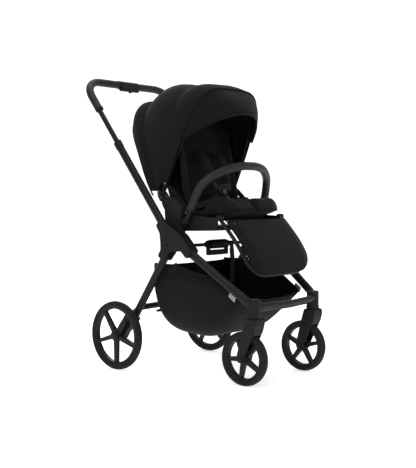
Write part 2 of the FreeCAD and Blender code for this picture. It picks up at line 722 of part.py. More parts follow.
# adapters plug the seat unit onto the hubs; the seam above them is where it lifts off
SEAM_Z = PIVOT_Z + 83
adapter_outline = [
    (PIVOT_Y - 44, PIVOT_Z - 30),
    (PIVOT_Y + 2, PIVOT_Z - 14),
    (PIVOT_Y + 33, PIVOT_Z + 12),
    (PIVOT_Y + 38, SEAM_Z),
    (PIVOT_Y - 44, SEAM_Z),
]
adapter = slab(adapter_outline, seat_half, hub_in)
adapter_low = [e for e in side_edges(adapter) if e.Vertexes[0].Point.z < SEAM_Z - 1]
pair("seat_adapter", rounded(adapter, 6, adapter_low))
bracket_outline = [
    (PIVOT_Y - 44, SEAM_Z),
    (PIVOT_Y + 38, SEAM_Z),
    (CANOPY_Y - 12, CANOPY_Z - 20),
    (CANOPY_Y - 22, CANOPY_Z + 2),
    (PIVOT_Y - 10, SEAM_Z + 46),
    (PIVOT_Y - 38, SEAM_Z + 20),
]
bracket = slab(bracket_outline, seat_half + 6, hub_in)
bracket_high = [e for e in side_edges(bracket) if e.Vertexes[0].Point.z > SEAM_Z + 1]
bracket = rounded(bracket, 6, bracket_high)
pair("seat_bracket", bracket)

shell_outline = [
    (seat_front, seat_z + 2),
    (RECLINE_Y - 20, seat_z - 5),
    (RECLINE_Y + 8, seat_z + 12),
    (RECLINE_Y + 12, RECLINE_Z + 18),
    (PIVOT_Y - 14, SEAM_Z + 14),
    (PIVOT_Y - 40, seat_z + 56),
    (seat_front + 4, seat_z + 48),
]
FOOT_Y = size("footrest_back")
FOOT_Z = size("footrest_height")
FOOT_HINGE = (FOOT_Y - 2, FOOT_Z - 5)
shell = slab(shell_outline, -seat_half, seat_half)
shell = rounded(shell, 8, side_edges(shell))
shell = shell.fuse(disc(-seat_half, seat_half, *FOOT_HINGE, 10))
shell = shell.cut(slab(
    [(seat_front - 60, seat_z + 14), (RECLINE_Y + 60, seat_z + 12), (RECLINE_Y + 60, 760), (seat_front - 60, 760)],
    -seat_half + 10,
    seat_half - 10,
))
recline_pin = disc(-seat_half + 0.5, seat_half - 0.5, RECLINE_Y, RECLINE_Z, AXLE)
shell = shell.cut(disc(-seat_half - 8, seat_half + 8, RECLINE_Y, RECLINE_Z, BORE))
bump_half = size("bumper_half")
BUMP_Y = PIVOT_Y - 62
BUMP_Z = PIVOT_Z + 40
bumper_pin = disc(seat_half - 2, bump_half + 10, BUMP_Y, BUMP_Z, AXLE)
foot_pin = disc(size("footrest_half") + 1, seat_half - 2, *FOOT_HINGE, 4)
for peg in (bumper_pin, foot_pin):
    shell = shell.fuse(peg).fuse(mirrored(peg))
feature("seat_shell", shell.removeSplitter())

pad_half = seat_half - 26
cushion_outline = [
    (seat_front + 6, seat_z + 16),
    (RECLINE_Y - 32, seat_z + 14),
    (RECLINE_Y - 30, seat_z + 62),
    (seat_front + 60, seat_z + 64),
    (seat_front + 10, seat_z + 72),
    (seat_front - 14, seat_z + 68),
    (seat_front - 12, seat_z + 57),
    (seat_front + 6, seat_z + 54),
]
cushion = slab(cushion_outline, -pad_half, pad_half)
cushion = rounded(cushion, 4, side_edges(cushion))
feature("seat_pad", rounded(cushion, 3))

BACK_LEAN = math.radians(69)
lean = Vector(0, math.cos(BACK_LEAN), math.sin(BACK_LEAN))
lean_n = Vector(0, -math.sin(BACK_LEAN), math.cos(BACK_LEAN))


def on_back(distance, depth):
    """(y, z) on the backrest, distance up from the recline pivot."""
    return RECLINE_Y + lean.y * distance + lean_n.y * depth, RECLINE_Z + lean.z * distance + lean_n.z * depth


back_len = 400.0
board_len = back_len - 8
board_outline = [on_back(6, 6), on_back(10, -8), on_back(board_len, -8), on_back(board_len, 6)]
board = soft_slab(board_outline, -seat_half + 28, seat_half - 28, 3, 2)
for sign in (-1, 1):
    x0, x1 = sorted((sign * (seat_half - 40), sign * (seat_half - 11)))
    ear = disc(x0, x1, RECLINE_Y, RECLINE_Z, 12)
    strut = slab([on_back(0, 9), on_back(0, -9), on_back(60, -9), on_back(60, 9)], x0, x1)
    board = board.fuse(ear).fuse(strut)
board = board.fuse(recline_pin)
feature("backrest_board", board.removeSplitter())

rest_outline = [
    (RECLINE_Y - 26, seat_z + 66),
    on_back(34, 9),
    on_back(back_len - 8, 9),
    on_back(back_len + 4, 30),
    (RECLINE_Y + 62, seat_z + 425),
    (RECLINE_Y + 22, seat_z + 285),
    (RECLINE_Y - 8, seat_z + 155),
]
feature("backrest_pad", soft_slab(rest_outline, -seat_half + 34, seat_half - 34, 10, 6))

# side wings join the backrest to the canopy hinge
wing_outline = [
    (RECLINE_Y + 14, RECLINE_Z + 18),
    (CANOPY_Y + 30, CANOPY_Z + 4),
    (CANOPY_Y + 28, CANOPY_Z + 30),
    (CANOPY_Y - 6, CANOPY_Z + 22),
    (RECLINE_Y - 2, RECLINE_Z + 44),
]
wing = slab(wing_outline, seat_half - 11, seat_half + 3)
wing = rounded(wing, 4, side_edges(wing))
hinge_pin = disc(seat_half, size("canopy_half") + 6, CANOPY_Y, CANOPY_Z, 5)
pair("canopy_bracket", wing.fuse(hinge_pin).removeSplitter())

# ---------------------------------------------------------------- harness
belt_top = (RECLINE_Y + 10, seat_z + 283)
belt_low = (RECLINE_Y - 78, seat_z + 178)
belt_outline = [
    belt_top,
    (belt_top[0] - 38, belt_top[1] + 2),
    (belt_top[0] - 62, belt_top[1] - 28),
    (belt_low[0] - 10, belt_low[1] + 8),
    (belt_low[0] - 4, belt_low[1] - 2),
    (belt_top[0] - 50, belt_top[1] - 36),
    (belt_top[0] - 32, belt_top[1] - 10),
    (belt_top[0], belt_top[1] - 12),
]
belt = soft_slab(belt_outline, 26, 68, 3, 1.5)
feature("shoulder_pads", Part.makeCompound([belt, mirrored(belt)]))
BUCKLE_Y = belt_low[0] - 8
BUCKLE_Z = belt_low[1] - 28
buckle = rounded(block(-24, 24, BUCKLE_Y - 9, BUCKLE_Y + 5, BUCKLE_Z - 20, BUCKLE_Z + 22), 4)
feature("harness_buckle", buckle)
crotch = slab(
    [
        (BUCKLE_Y - 4, BUCKLE_Z - 21),
        (BUCKLE_Y + 1, BUCKLE_Z - 21),
        (BUCKLE_Y + 3, seat_z + 64.2),
        (BUCKLE_Y - 4, seat_z + 64.2),
    ],
    -19,
    19,
)
feature("crotch_strap", crotch)

# ---------------------------------------------------------------- bumper bar
bump_points = [
    (bump_half, BUMP_Y, BUMP_Z),
    (bump_half, BUMP_Y - 22, BUMP_Z + 36),
    (bump_half - 1, BUMP_Y - 42, BUMP_Z + 84),
    (bump_half - 12, BUMP_Y - 58, BUMP_Z + 130),
    (bump_half - 45, BUMP_Y - 85, BUMP_Z + 166),
    (bump_half - 110, BUMP_Y - 118, BUMP_Z + 196),
    (bump_half - 172, BUMP_Y - 132, BUMP_Z + 206),
]
left_points = [at(*p) for p in bump_points]
right_points = [at(-p[0], p[1], p[2]) for p in reversed(bump_points)]
bump_path = bent_path(left_points + right_points)
arm_bar = round_tube(bump_path, size("bumper_arm_rad"))
boss = disc(seat_half + 1.0, bump_half + 12, BUMP_Y, BUMP_Z, 13)
boss_bore = disc(0, 400, BUMP_Y, BUMP_Z, BORE)
for sign in (1, -1):
    ear = boss if sign > 0 else mirrored(boss)
    arm_bar = arm_bar.fuse(rounded(ear, 2))
grip_zone = Part.makeBox(900, 900, 500, at(-450, -700, BUMP_Z + 46))
bump_grip = round_tube(bump_path, size("bumper_grip_rad")).common(grip_zone)
bump_grip = bump_grip.cut(round_tube(bump_path, size("bumper_arm_rad")))
ring_zone = Part.makeBox(900, 900, 9, at(-450, -700, BUMP_Z + 36.5))
rings = round_tube(bump_path, size("bumper_grip_rad") + 1.2).common(ring_zone)
arm_bar = arm_bar.fuse(rings)
arm_bar = arm_bar.cut(boss_bore).cut(mirrored(boss_bore))
feature("bumper_bar", arm_bar.removeSplitter())
feature("bumper_grip", bump_grip.removeSplitter())

# ---------------------------------------------------------------- footrest
foot_half = size("footrest_half")
foot_curve = [(0, 0), (-48, -50), (-94, -104), (-127, -160), (-141, -197)]


def foot_point(x, fraction, lift=0):
    """A point on the footrest's curved face; fraction 0 is the hinge, 1 the lower edge."""
    place = fraction * (len(foot_curve) - 1)
    i = min(int(place), len(foot_curve) - 2)
    part_way = place - i
    (y0, z0), (y1, z1) = foot_curve[i], foot_curve[i + 1]
    run = math.hypot(y1 - y0, z1 - z0)
    y = y0 + (y1 - y0) * part_way + lift * (z1 - z0) / run
    z = z0 + (z1 - z0) * part_way - lift * (y1 - y0) / run
    return at(x, FOOT_Y + y, FOOT_Z + z)


def foot_slab(lift0, lift1, half, drop):
    """The curved panel of the footrest with rounded lower corners."""
    steps = [0.10 + 0.90 * i / 12 for i in range(13)]
    front = [foot_point(-half, s, lift1) for s in steps]
    back = [foot_point(-half, s, lift0) for s in steps]
    face_curve, back_curve = Part.BSplineCurve(), Part.BSplineCurve()
    face_curve.interpolate(front)
    back_curve.interpolate(back)
    loop = Part.Wire([
        face_curve.toShape(),
        Part.makeLine(front[-1], back[-1]),
        back_curve.toShape(),
        Part.makeLine(back[0], front[0]),
    ])
    panel = Part.Face(loop).extrude(Vector(2 * half, 0, 0))
    low = FOOT_Z + foot_curve[-1][1] - drop
    trim = Part.makeBox(2 * half, 600, 400, at(-half, -700, low))
    corner_edges = [
        e for e in trim.Edges
        if all(abs(v.Point.z - low) < 0.01 for v in e.Vertexes) and abs(e.Vertexes[0].Point.x - e.Vertexes[-1].Point.x) < 0.01
    ]
    return panel.common(trim.makeFillet(72, corner_edges))


foot_pad = foot_slab(0, 15, foot_half, 0)
foot_pad = rounded(foot_pad, 3)
feature("footrest_pad", foot_pad.removeSplitter())
frame_half = foot_half + 5.5
FOOT_TUBE_LIFT = -8.5
BEND_FROM = 0.60
FOOT_LOW = 1.066
side_run = [foot_point(frame_half, s, FOOT_TUBE_LIFT) for s in (0, 0.15, 0.30, 0.45, BEND_FROM)]
low_corner = []
for turn in (22.5, 45, 67.5, 90):
    around = math.radians(turn)
    drop = BEND_FROM + (FOOT_LOW - BEND_FROM) * math.sin(around)
    low_corner.append(foot_point(frame_half - 84 * (1 - math.cos(around)), drop, FOOT_TUBE_LIFT))
right_run = [Vector(-p.x, p.y, p.z) for p in reversed(side_run + low_corner)]
foot_path = bent_path(side_run + low_corner + right_run)
foot_frame = round_tube(foot_path, 7)
for sign in (1, -1):
    x0, x1 = sorted((sign * (frame_half - 6), sign * (seat_half - 10.6)))
    foot_frame = foot_frame.fuse(disc(x0, x1, *FOOT_HINGE, 10))
foot_frame = foot_frame.cut(disc(-400, 400, *FOOT_HINGE, 4 + size("running_gap")))
feature("footrest_frame", foot_frame)

# ---------------------------------------------------------------- canopy
hoop_reach = size("hoop_reach")
canopy_half = size("canopy_half")
cloth = size("fabric_thick")


def arch_points(angle, reach, half, power, foot, count=33):
    """Points of a canopy arch in the plane that leans at angle through the hinge line."""
    lean_to = math.radians(angle)
    points = []
    limit = math.atan2(foot, half)
    for i in range(count):
        turn = limit + (math.pi - 2 * limit) * i / (count - 1)
        c, s = math.cos(turn), math.sin(turn)
        radius = (abs(c / half) ** power + abs(s / reach) ** power) ** (-1 / power)
        t = radius * s
        points.append(at(radius * c, CANOPY_Y + t * math.cos(lean_to), CANOPY_Z + t * math.sin(lean_to)))
    return points


def band(outside, inside):
    """Closed outline between an outer and an inner row of points."""
    outer, inner = Part.BSplineCurve(), Part.BSplineCurve()
    outer.interpolate(outside)
    inner.interpolate(list(reversed(inside)))
    return Part.Wire([
        outer.toShape(),
        Part.makeLine(outside[-1], inside[-1]),
        inner.toShape(),
        Part.makeLine(inside[0], outside[0]),
    ])


def arch_band(angle, reach, half, power):
    """Section of the canopy cloth in the plane that leans at angle."""
    outside = arch_points(angle, reach, half, power, CLOTH_FOOT)
    inside = arch_points(angle, reach - cloth, half - cloth, power, CLOTH_FOOT)
    return band(outside, inside)


# each lobe bulges between two arches: (lean, reach, half width, squareness)
CLOTH_FOOT = 30.0
ROUND, SQUARE = 3.1, 4.2
mid_reach = hoop_reach * 0.955
rear_reach = hoop_reach * 0.925
rim = size("rear_rim_angle")
rear_rib = size("rear_rib_angle")
mid_rib = size("mid_rib_angle")
hoop = size("hoop_angle")
wide = canopy_half + 5
rim_arch = (rim, hoop_reach * 0.91, wide, ROUND)
rear_arch = (rear_rib, rear_reach, wide, ROUND)
mid_arch = (mid_rib, mid_reach, wide, ROUND)
hoop_arch = (hoop, hoop_reach, canopy_half, SQUARE)
lobes = [
    [rim_arch, ((rim + rear_rib) / 2, hoop_reach * 0.985, wide + 3, ROUND), rear_arch],
    [rear_arch, ((rear_rib + mid_rib) / 2, hoop_reach * 0.99, wide + 3, ROUND), mid_arch],
    [mid_arch, ((mid_rib + hoop) / 2, hoop_reach * 1.01, canopy_half + 4, (ROUND + SQUARE) / 2), hoop_arch],
]
canopy = None
for lobe in lobes:
    piece = Part.makeLoft([arch_band(*arch) for arch in lobe], True, False)
    canopy = piece if canopy is None else canopy.fuse(piece)
feature("canopy_fabric", canopy)


def rib_strip(angle, reach, half, power):
    """A flat canopy rib bent to its arch, with an eye round the hinge pin at each end."""
    lean_to = math.radians(angle)
    facing = Vector(0, -math.sin(lean_to), math.cos(lean_to))
    outside = arch_points(angle, reach + RIB_THICK / 2, half + RIB_THICK / 2, power, 12.0)
    inside = arch_points(angle, reach - RIB_THICK / 2, half - RIB_THICK / 2, power, 12.0)
    strip = Part.Face(band(outside, inside)).extrude(facing * RIB_WIDE)
    strip.translate(facing * (-RIB_WIDE / 2))
    eye = disc(half - EYE_THICK / 2, half + EYE_THICK / 2, CANOPY_Y, CANOPY_Z, 13)
    hole = disc(half - 5, half + 5, CANOPY_Y, CANOPY_Z, 5 + size("running_gap"))
    strip = strip.fuse(eye).fuse(mirrored(eye)).cut(hole).cut(mirrored(hole))
    return strip.removeSplitter()


RIB_THICK = 2.6
EYE_THICK = 3.0
RIB_WIDE = 8.0
RIB_PITCH = 3.6
inset = cloth + 4.0
layer = seat_half + 5.4
feature("canopy_hoop", rib_strip(hoop, hoop_reach - inset, layer, ROUND))
feature("canopy_mid_rib", rib_strip(mid_rib, mid_reach - inset, layer + RIB_PITCH, ROUND))
feature("canopy_rear_rib", rib_strip(rear_rib, rear_reach - inset, layer + 2 * RIB_PITCH, ROUND))

# sun visor: a curved peak from the top of the front hoop to a brow edge ahead of it
VISOR_END = 0.55
VISOR_THICK = 3.5
VISOR_SIDE = 10.0
hoop_lean = math.radians(hoop)
visor_peak = hoop_reach * 0.86
visor_out = size("visor_out")


def visor_row(share, inward):
    """Points across the visor; share 0 is at the hoop, 1 at the brow edge."""
    along = Vector(0, math.cos(hoop_lean), math.sin(hoop_lean))
    ahead = Vector(0, -math.sin(hoop_lean), math.cos(hoop_lean))
    low = hoop_reach * VISOR_END
    half = canopy_half - inward
    top = arch_points(hoop, hoop_reach - inward, half, SQUARE, low, 21)
    row = []
    for i, point in enumerate(top):
        across = 1 - 2 * i / (len(top) - 1)
        height = visor_peak - inward - (visor_peak - low) * abs(across) ** 2.1
        out = VISOR_SIDE + visor_out * (1 - across**2)
        brow = at(half * across, CANOPY_Y, CANOPY_Z) + along * height + ahead * out
        bulge = (along + ahead) * (8 * math.sin(math.pi * share) * (1 - across**4))
        row.append(point + ahead * 2 + (brow - point) * share + bulge)
    return row


visor_bands = [band(visor_row(share, 0), visor_row(share, VISOR_THICK)) for share in (0, 0.5, 1)]
visor_faces = Part.makeLoft(visor_bands, False, False).Faces
for rim_band in (visor_bands[0], visor_bands[-1]):
    outer_edge, _, inner_edge, _ = rim_band.Edges
    visor_faces.append(Part.makeRuledSurface(outer_edge, Part.Edge(inner_edge.reversed())))
visor_skin = Part.Shell(visor_faces)
visor_skin.sewShape()
visor = Part.Solid(visor_skin)
feature("sun_visor", visor)

# ---------------------------------------------------------------- basket
b_half = size("basket_half")
basket_outline = [
    (128, 414),
    (138, 265),
    (104, 170),
    (30, 147),
    (-55, 147),
    (-150, 185),
    (-262, 292),
    (-258, 312),
    (-160, 368),
    (20, 410),
]
inner_outline = [
    (128 - cloth, 450),
    (138 - cloth, 265),
    (104 - cloth, 170 + cloth),
    (30, 147 + cloth),
    (-55, 147 + cloth),
    (-150 + 3, 185 + cloth),
    (-262 + cloth + 2, 292 + 3),
    (-262 + cloth + 2, 450),
]
tub = slab(basket_outline, -b_half, b_half)
tub_low = [e for e in side_edges(tub) if e.Vertexes[0].Point.z < 200]
tub = rounded(tub, 24, tub_low)


def basket_plan(inset_by):
    """Plan view of the basket, drawn in towards the front so it clears the legs."""
    wide = b_half - inset_by
    narrow = leg_half_low - 26 - inset_by
    corners = [(wide, 300), (wide, -80), (narrow, -300), (-narrow, -300), (-wide, -80), (-wide, 300)]
    wire = Part.makePolygon([at(x, y, 100) for x, y in corners + corners[:1]])
    return Part.Face(wire).extrude(Vector(0, 0, 400))


hollow = slab(inner_outline, -b_half, b_half).common(basket_plan(cloth))
basket = tub.common(basket_plan(0)).cut(hollow)
basket_solids = sorted(basket.Solids, key=lambda s: s.Volume)
feature("storage_basket", basket_solids[-1])

# hangers: loops at the rear legs, webbing from the fold rod and tabs on the front legs
strap = slab([(-7.5, rod_z - 20), (-10.5, rod_z - 60), (-10, 330), (-13, 330), (-13.5, rod_z - 60), (-10.5, rod_z - 20)], 66, 90)
strap_loop = disc(68, 88, 0, rod_z, size("cross_rod_rad") + 3.2).cut(disc(60, 95, 0, rod_z, size("cross_rod_rad")))
strap_neck = slab([(-9.4, rod_z), (-6.4, rod_z), (-7.5, rod_z - 22), (-10.5, rod_z - 22)], 68, 88)
strap_neck = strap_neck.cut(disc(60, 95, 0, rod_z, size("cross_rod_rad")))
feature("basket_strap", strap.fuse(strap_loop).fuse(strap_neck).removeSplitter())

hang = slab([(18, 425), (60, 402), (56, 378), (12, 388)], b_half, b_half + 3)
feature("basket_hangers", Part.makeCompound([hang, mirrored(hang)]))
tab_y = LEG_TOP_Y - 196
tab_outline = [along_leg(tab_y, -HALF_TALL - 1), along_leg(tab_y - 26, -HALF_TALL - 1), along_leg(tab_y - 30, -HALF_TALL - 22), along_leg(tab_y - 4, -HALF_TALL - 22)]
tab = slab(tab_outline, 198.5, 201.5)
feature("reflector_tabs", Part.makeCompound([tab, mirrored(tab)]))

# ---------------------------------------------------------------- checks and output
doc.recompute()
bad = []
for obj in made:
    if obj.State and any(word in obj.State for word in ("Invalid", "Error")):
        bad.append((obj.Label, obj.State))
    if obj.Shape.isNull() or not obj.Shape.isValid() or not obj.Shape.Solids:
        bad.append((obj.Label, "shape"))
if bad:
    raise RuntimeError("sub-parts not built: %s" % bad)
for obj in made:
    obj.Shape.exportStep("parts/%s.step" % obj.Label)
print(len(made), "sub-parts written")
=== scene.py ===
import json
import logging
import math
from dataclasses import dataclass
from enum import Enum
from typing import Callable, Dict, List, Optional, Sequence, Tuple

import bmesh
import bpy
import numpy as np
from mathutils import Matrix, Vector


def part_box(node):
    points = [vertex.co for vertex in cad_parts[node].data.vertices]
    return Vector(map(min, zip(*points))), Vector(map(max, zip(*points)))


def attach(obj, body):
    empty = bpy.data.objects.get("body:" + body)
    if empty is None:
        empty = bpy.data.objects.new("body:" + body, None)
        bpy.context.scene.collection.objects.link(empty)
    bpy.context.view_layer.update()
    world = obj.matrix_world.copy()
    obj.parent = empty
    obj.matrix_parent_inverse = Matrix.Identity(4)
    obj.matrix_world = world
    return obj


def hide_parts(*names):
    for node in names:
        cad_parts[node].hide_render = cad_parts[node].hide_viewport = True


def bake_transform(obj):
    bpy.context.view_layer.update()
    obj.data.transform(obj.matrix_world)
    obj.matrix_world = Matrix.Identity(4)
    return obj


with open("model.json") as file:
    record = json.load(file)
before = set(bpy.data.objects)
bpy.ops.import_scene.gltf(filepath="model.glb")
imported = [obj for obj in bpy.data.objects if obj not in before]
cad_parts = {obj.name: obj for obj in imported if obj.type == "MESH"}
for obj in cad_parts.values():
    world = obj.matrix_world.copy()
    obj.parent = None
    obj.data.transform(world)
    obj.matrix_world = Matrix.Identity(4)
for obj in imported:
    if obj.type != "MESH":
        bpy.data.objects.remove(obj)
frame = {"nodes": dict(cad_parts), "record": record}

LOG = logging.getLogger("stroller")
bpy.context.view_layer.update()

# distance from the middle of the wheel base to the part's own origin
MID_TO_ORIGIN = 0.069305
# half width and half thickness of the harness webbing
WEBBING = (0.0125, 0.0009)
Point = Tuple[float, float, float]


def at(x: float, y: float, z: float) -> np.ndarray:
    """Place a point given from the middle of the wheel base.

    Args:
        x: to the left of the person pushing.
        y: to the back.
        z: above the floor.

    Returns:
        The point from the part's own origin, in metres.
    """
    return np.array([x, y - MID_TO_ORIGIN, z])


def smooth(edge0: float, edge1: float, value: np.ndarray) -> np.ndarray:
    """Ease from 0 to 1 between two edges.

    Args:
        edge0: where the ramp starts.
        edge1: where the ramp ends.
        value: numbers to ease.

    Returns:
        Eased numbers from 0 to 1.
    """
    t = np.clip((np.asarray(value, float) - edge0) / (edge1 - edge0), 0, 1)
    return t * t * (3 - 2 * t)


def resample(points: Sequence[Sequence[float]], count: int) -> np.ndarray:
    """Run a smooth curve through points, evenly spaced along its length.

    Args:
        points: points to pass through.
        count: points in the result.

    Returns:
        Array of count points.
    """
    p = np.asarray(points, float)
    ext = np.vstack([2 * p[0] - p[1], p, 2 * p[-1] - p[-2]])
    fine = []
    for i in range(1, len(ext) - 2):
        t = np.linspace(0, 1, 24, endpoint=False)[:, None]
        a, b, c, d = ext[i - 1], ext[i], ext[i + 1], ext[i + 2]
        square, cube = 2 * a - 5 * b + 4 * c - d, 3 * b - a - 3 * c + d
        fine.append(0.5 * (2 * b + (c - a) * t + square * t**2 + cube * t**3))
    fine = np.vstack(fine + [p[-1][None]])
    run = np.concatenate([[0], np.cumsum(np.linalg.norm(np.diff(fine, axis=0), axis=1))])
    steps = np.linspace(0, run[-1], count)
    return np.stack([np.interp(steps, run, fine[:, k]) for k in range(fine.shape[1])], axis=1)


class Grain:
    """Repeatable smooth waves that stand in for the small irregularity of sewn cloth."""

    def __init__(self, seed: int) -> None:
        rng = np.random.default_rng(seed)
        self.wave = rng.normal(size=(18, 3)) * np.linspace(10, 60, 18)[:, None]
        self.phase = rng.uniform(0, 2 * math.pi, 18)
        self.weight = 1 / np.linspace(1, 4, 18)

    def __call__(self, points: np.ndarray) -> np.ndarray:
        """Sample the waves.

        Args:
            points: array of points, last axis x, y, z.

        Returns:
            Values of about -1 to 1.
        """
        angle = points @ self.wave.T + self.phase
        return (np.sin(angle) * self.weight).sum(-1) / self.weight.sum() * 2.2


# ------------------------------------------------------------------ meshes
class Builder:
    """Turns arrays of points into mesh objects at the origin."""

    @staticmethod
    def mesh(
        name: str, verts: np.ndarray, faces: Sequence[Sequence[int]], shade: bool = True
    ) -> bpy.types.Object:
        """Make an object from points and faces.

        Args:
            name: object name.
            verts: points in metres.
            faces: corner numbers of each face.
            shade: smooth shading.

        Returns:
            The linked object.
        """
        data = bpy.data.meshes.new(name)
        data.from_pydata([tuple(v) for v in np.asarray(verts, float)], [], [tuple(f) for f in faces])
        data.validate()
        data.polygons.foreach_set("use_smooth", [shade] * len(data.polygons))
        obj = bpy.data.objects.new(name, data)
        bpy.context.scene.collection.objects.link(obj)
        return obj

    @staticmethod
    def quads(
        nu: int, nv: int, offset: int = 0, wrap_u: bool = False, wrap_v: bool = False, flip: bool = False
    ) -> List[List[int]]:
        """Faces of a grid of nu by nv points.

        Args:
            nu: rows.
            nv: columns.
            offset: number of the first point.
            wrap_u: join the last row to the first.
            wrap_v: join the last column to the first.
            flip: turn the faces over.

        Returns:
            List of four-cornered faces.
        """
        out = []
        for i in range(nu if wrap_u else nu - 1):
            for j in range(nv if wrap_v else nv - 1):
                a = offset + i * nv + j
                b = offset + i * nv + (j + 1) % nv
                c = offset + ((i + 1) % nu) * nv + (j + 1) % nv
                d = offset + ((i + 1) % nu) * nv + j
                out.append([a, d, c, b] if flip else [a, b, c, d])
        return out

    @classmethod
    def sheet(cls, name: str, grid: np.ndarray, thick: float, flip: bool = False) -> bpy.types.Object:
        """A curved sheet of real thickness with closed edges.

        Args:
            name: object name.
            grid: rows by columns of points on the outside.
            thick: cloth thickness, inwards.
            flip: turn the sheet over when its rows run the other way.

        Returns:
            The sheet.
        """
        nu, nv = grid.shape[:2]
        du = np.gradient(grid, axis=0)
        dv = np.gradient(grid, axis=1)
        normal = np.cross(dv, du)
        if flip:
            normal = -normal
        normal /= np.linalg.norm(normal, axis=-1, keepdims=True) + 1e-12
        inner = grid - normal * thick
        verts = np.vstack([grid.reshape(-1, 3), inner.reshape(-1, 3)])
        count = nu * nv
        faces = cls.quads(nu, nv, 0, flip=flip) + cls.quads(nu, nv, count, flip=not flip)
        ring = [i * nv for i in range(nu)] + [(nu - 1) * nv + j for j in range(1, nv)]
        ring += [i * nv + nv - 1 for i in range(nu - 2, -1, -1)] + [j for j in range(nv - 2, 0, -1)]
        for k, a in enumerate(ring):
            b = ring[(k + 1) % len(ring)]
            faces.append([a, a + count, b + count, b] if flip else [b, b + count, a + count, a])
        obj = cls.mesh(name, verts, faces)
        return cls.outward(obj)

    @staticmethod
    def outward(obj: bpy.types.Object) -> bpy.types.Object:
        """Turn every face outwards.

        Args:
            obj: a closed mesh object.

        Returns:
            The same object.
        """
        bm = bmesh.new()
        bm.from_mesh(obj.data)
        bmesh.ops.recalc_face_normals(bm, faces=bm.faces)
        bm.to_mesh(obj.data)
        bm.free()
        return obj

    @classmethod
    def tube(
        cls,
        name: str,
        path: np.ndarray,
        across: float,
        deep: Optional[float] = None,
        sides: int = 12,
        wide_axis: Optional[Sequence[float]] = None,
        closed: bool = False,
        taper: Optional[np.ndarray] = None,
        square: float = 1.0,
    ) -> bpy.types.Object:
        """A cord, piping, bar or webbing along a path.

        Args:
            name: object name.
            path: centre points.
            across: half width along wide_axis.
            deep: half depth; the same as across when left out.
            sides: points round the section.
            wide_axis: direction the section is wide in.
            closed: whether the path is a ring.
            taper: size factor at each point.
            square: below 1 the section's corners fill out.

        Returns:
            The tube.
        """
        deep = across if deep is None else deep
        p = np.asarray(path, float)
        n = len(p)
        if closed:
            tangent = np.roll(p, -1, axis=0) - np.roll(p, 1, axis=0)
        else:
            tangent = np.gradient(p, axis=0)
        tangent /= np.linalg.norm(tangent, axis=1, keepdims=True)
        upright = [0, 0, 1] if abs(tangent[0][2]) < 0.9 else [0, 1, 0]
        first = np.array(upright if wide_axis is None else wide_axis, float)
        wide = np.zeros_like(p)
        last = first
        for i in range(n):
            w = (np.array(wide_axis, float) if wide_axis is not None else last)
            w = w - tangent[i] * (w @ tangent[i])
            w /= np.linalg.norm(w) + 1e-12
            wide[i] = w
            last = w
        thin = np.cross(tangent, wide)
        turn = np.linspace(0, 2 * math.pi, sides, endpoint=False)
        cs = np.sign(np.cos(turn)) * np.abs(np.cos(turn)) ** square
        sn = np.sign(np.sin(turn)) * np.abs(np.sin(turn)) ** square
        size = np.ones(n) if taper is None else taper
        ring = (
            p[:, None]
            + wide[:, None] * (cs * across)[None, :, None] * size[:, None, None]
            + thin[:, None] * (sn * deep)[None, :, None] * size[:, None, None]
        )
        verts = ring.reshape(-1, 3)
        faces = cls.quads(n, sides, 0, wrap_u=closed, wrap_v=True)
        if not closed:
            faces.append(list(range(sides)))
            faces.append(list(range((n - 1) * sides + sides - 1, (n - 1) * sides - 1, -1)))
        return cls.outward(cls.mesh(name, verts, faces))

    @classmethod
    def button(
        cls,
        name: str,
        centre: np.ndarray,
        axis: Sequence[float],
        radius: float,
        height: float,
        dome: float = 0.35,
    ) -> bpy.types.Object:
        """A round cap, screw head or snap with a softly domed top.

        Args:
            name: object name.
            centre: middle of its back face.
            axis: direction it faces.
            radius: its radius.
            height: how far it stands out.
            dome: how much of the height is domed.

        Returns:
            The cap.
        """
        a = np.array(axis, float) / np.linalg.norm(axis)
        u = np.cross(a, [0, 0, 1] if abs(a[2]) < 0.9 else [1, 0, 0])
        u /= np.linalg.norm(u)
        v = np.cross(a, u)
        rows = [(1.0, 0.0), (1.0, (1 - dome) * height)]
        angles = np.linspace(0.25, 1.45, 6)
        rows += [(math.cos(t), (1 - dome) * height + dome * height * math.sin(t)) for t in angles]
        turn = np.linspace(0, 2 * math.pi, 28, endpoint=False)
        verts = []
        for r, h in rows:
            for t in turn:
                verts.append(centre + a * h + (u * math.cos(t) + v * math.sin(t)) * radius * r)
        faces = cls.quads(len(rows), 28, 0, wrap_v=True)
        faces.append(list(range(28)))
        faces.append([(len(rows) - 1) * 28 + k for k in range(27, -1, -1)])
        return cls.outward(cls.mesh(name, np.array(verts), faces))

    @staticmethod
    def join(objs: Sequence[bpy.types.Object], name: str) -> bpy.types.Object:
        """Put several meshes into one object.

        Args:
            objs: objects that share one material.
            name: name of the result.

        Returns:
            The joined object.
        """
        verts, faces, offset = [], [], 0
        for o in objs:
            count = len(o.data.vertices)
            co = np.zeros(count * 3, np.float32)
            o.data.vertices.foreach_get("co", co)
            verts.append(co.reshape(-1, 3))
            faces += [[v + offset for v in p.vertices] for p in o.data.polygons]
            offset += count
        for o in objs:
            bpy.data.objects.remove(o)
        return Builder.mesh(name, np.vstack(verts), faces)


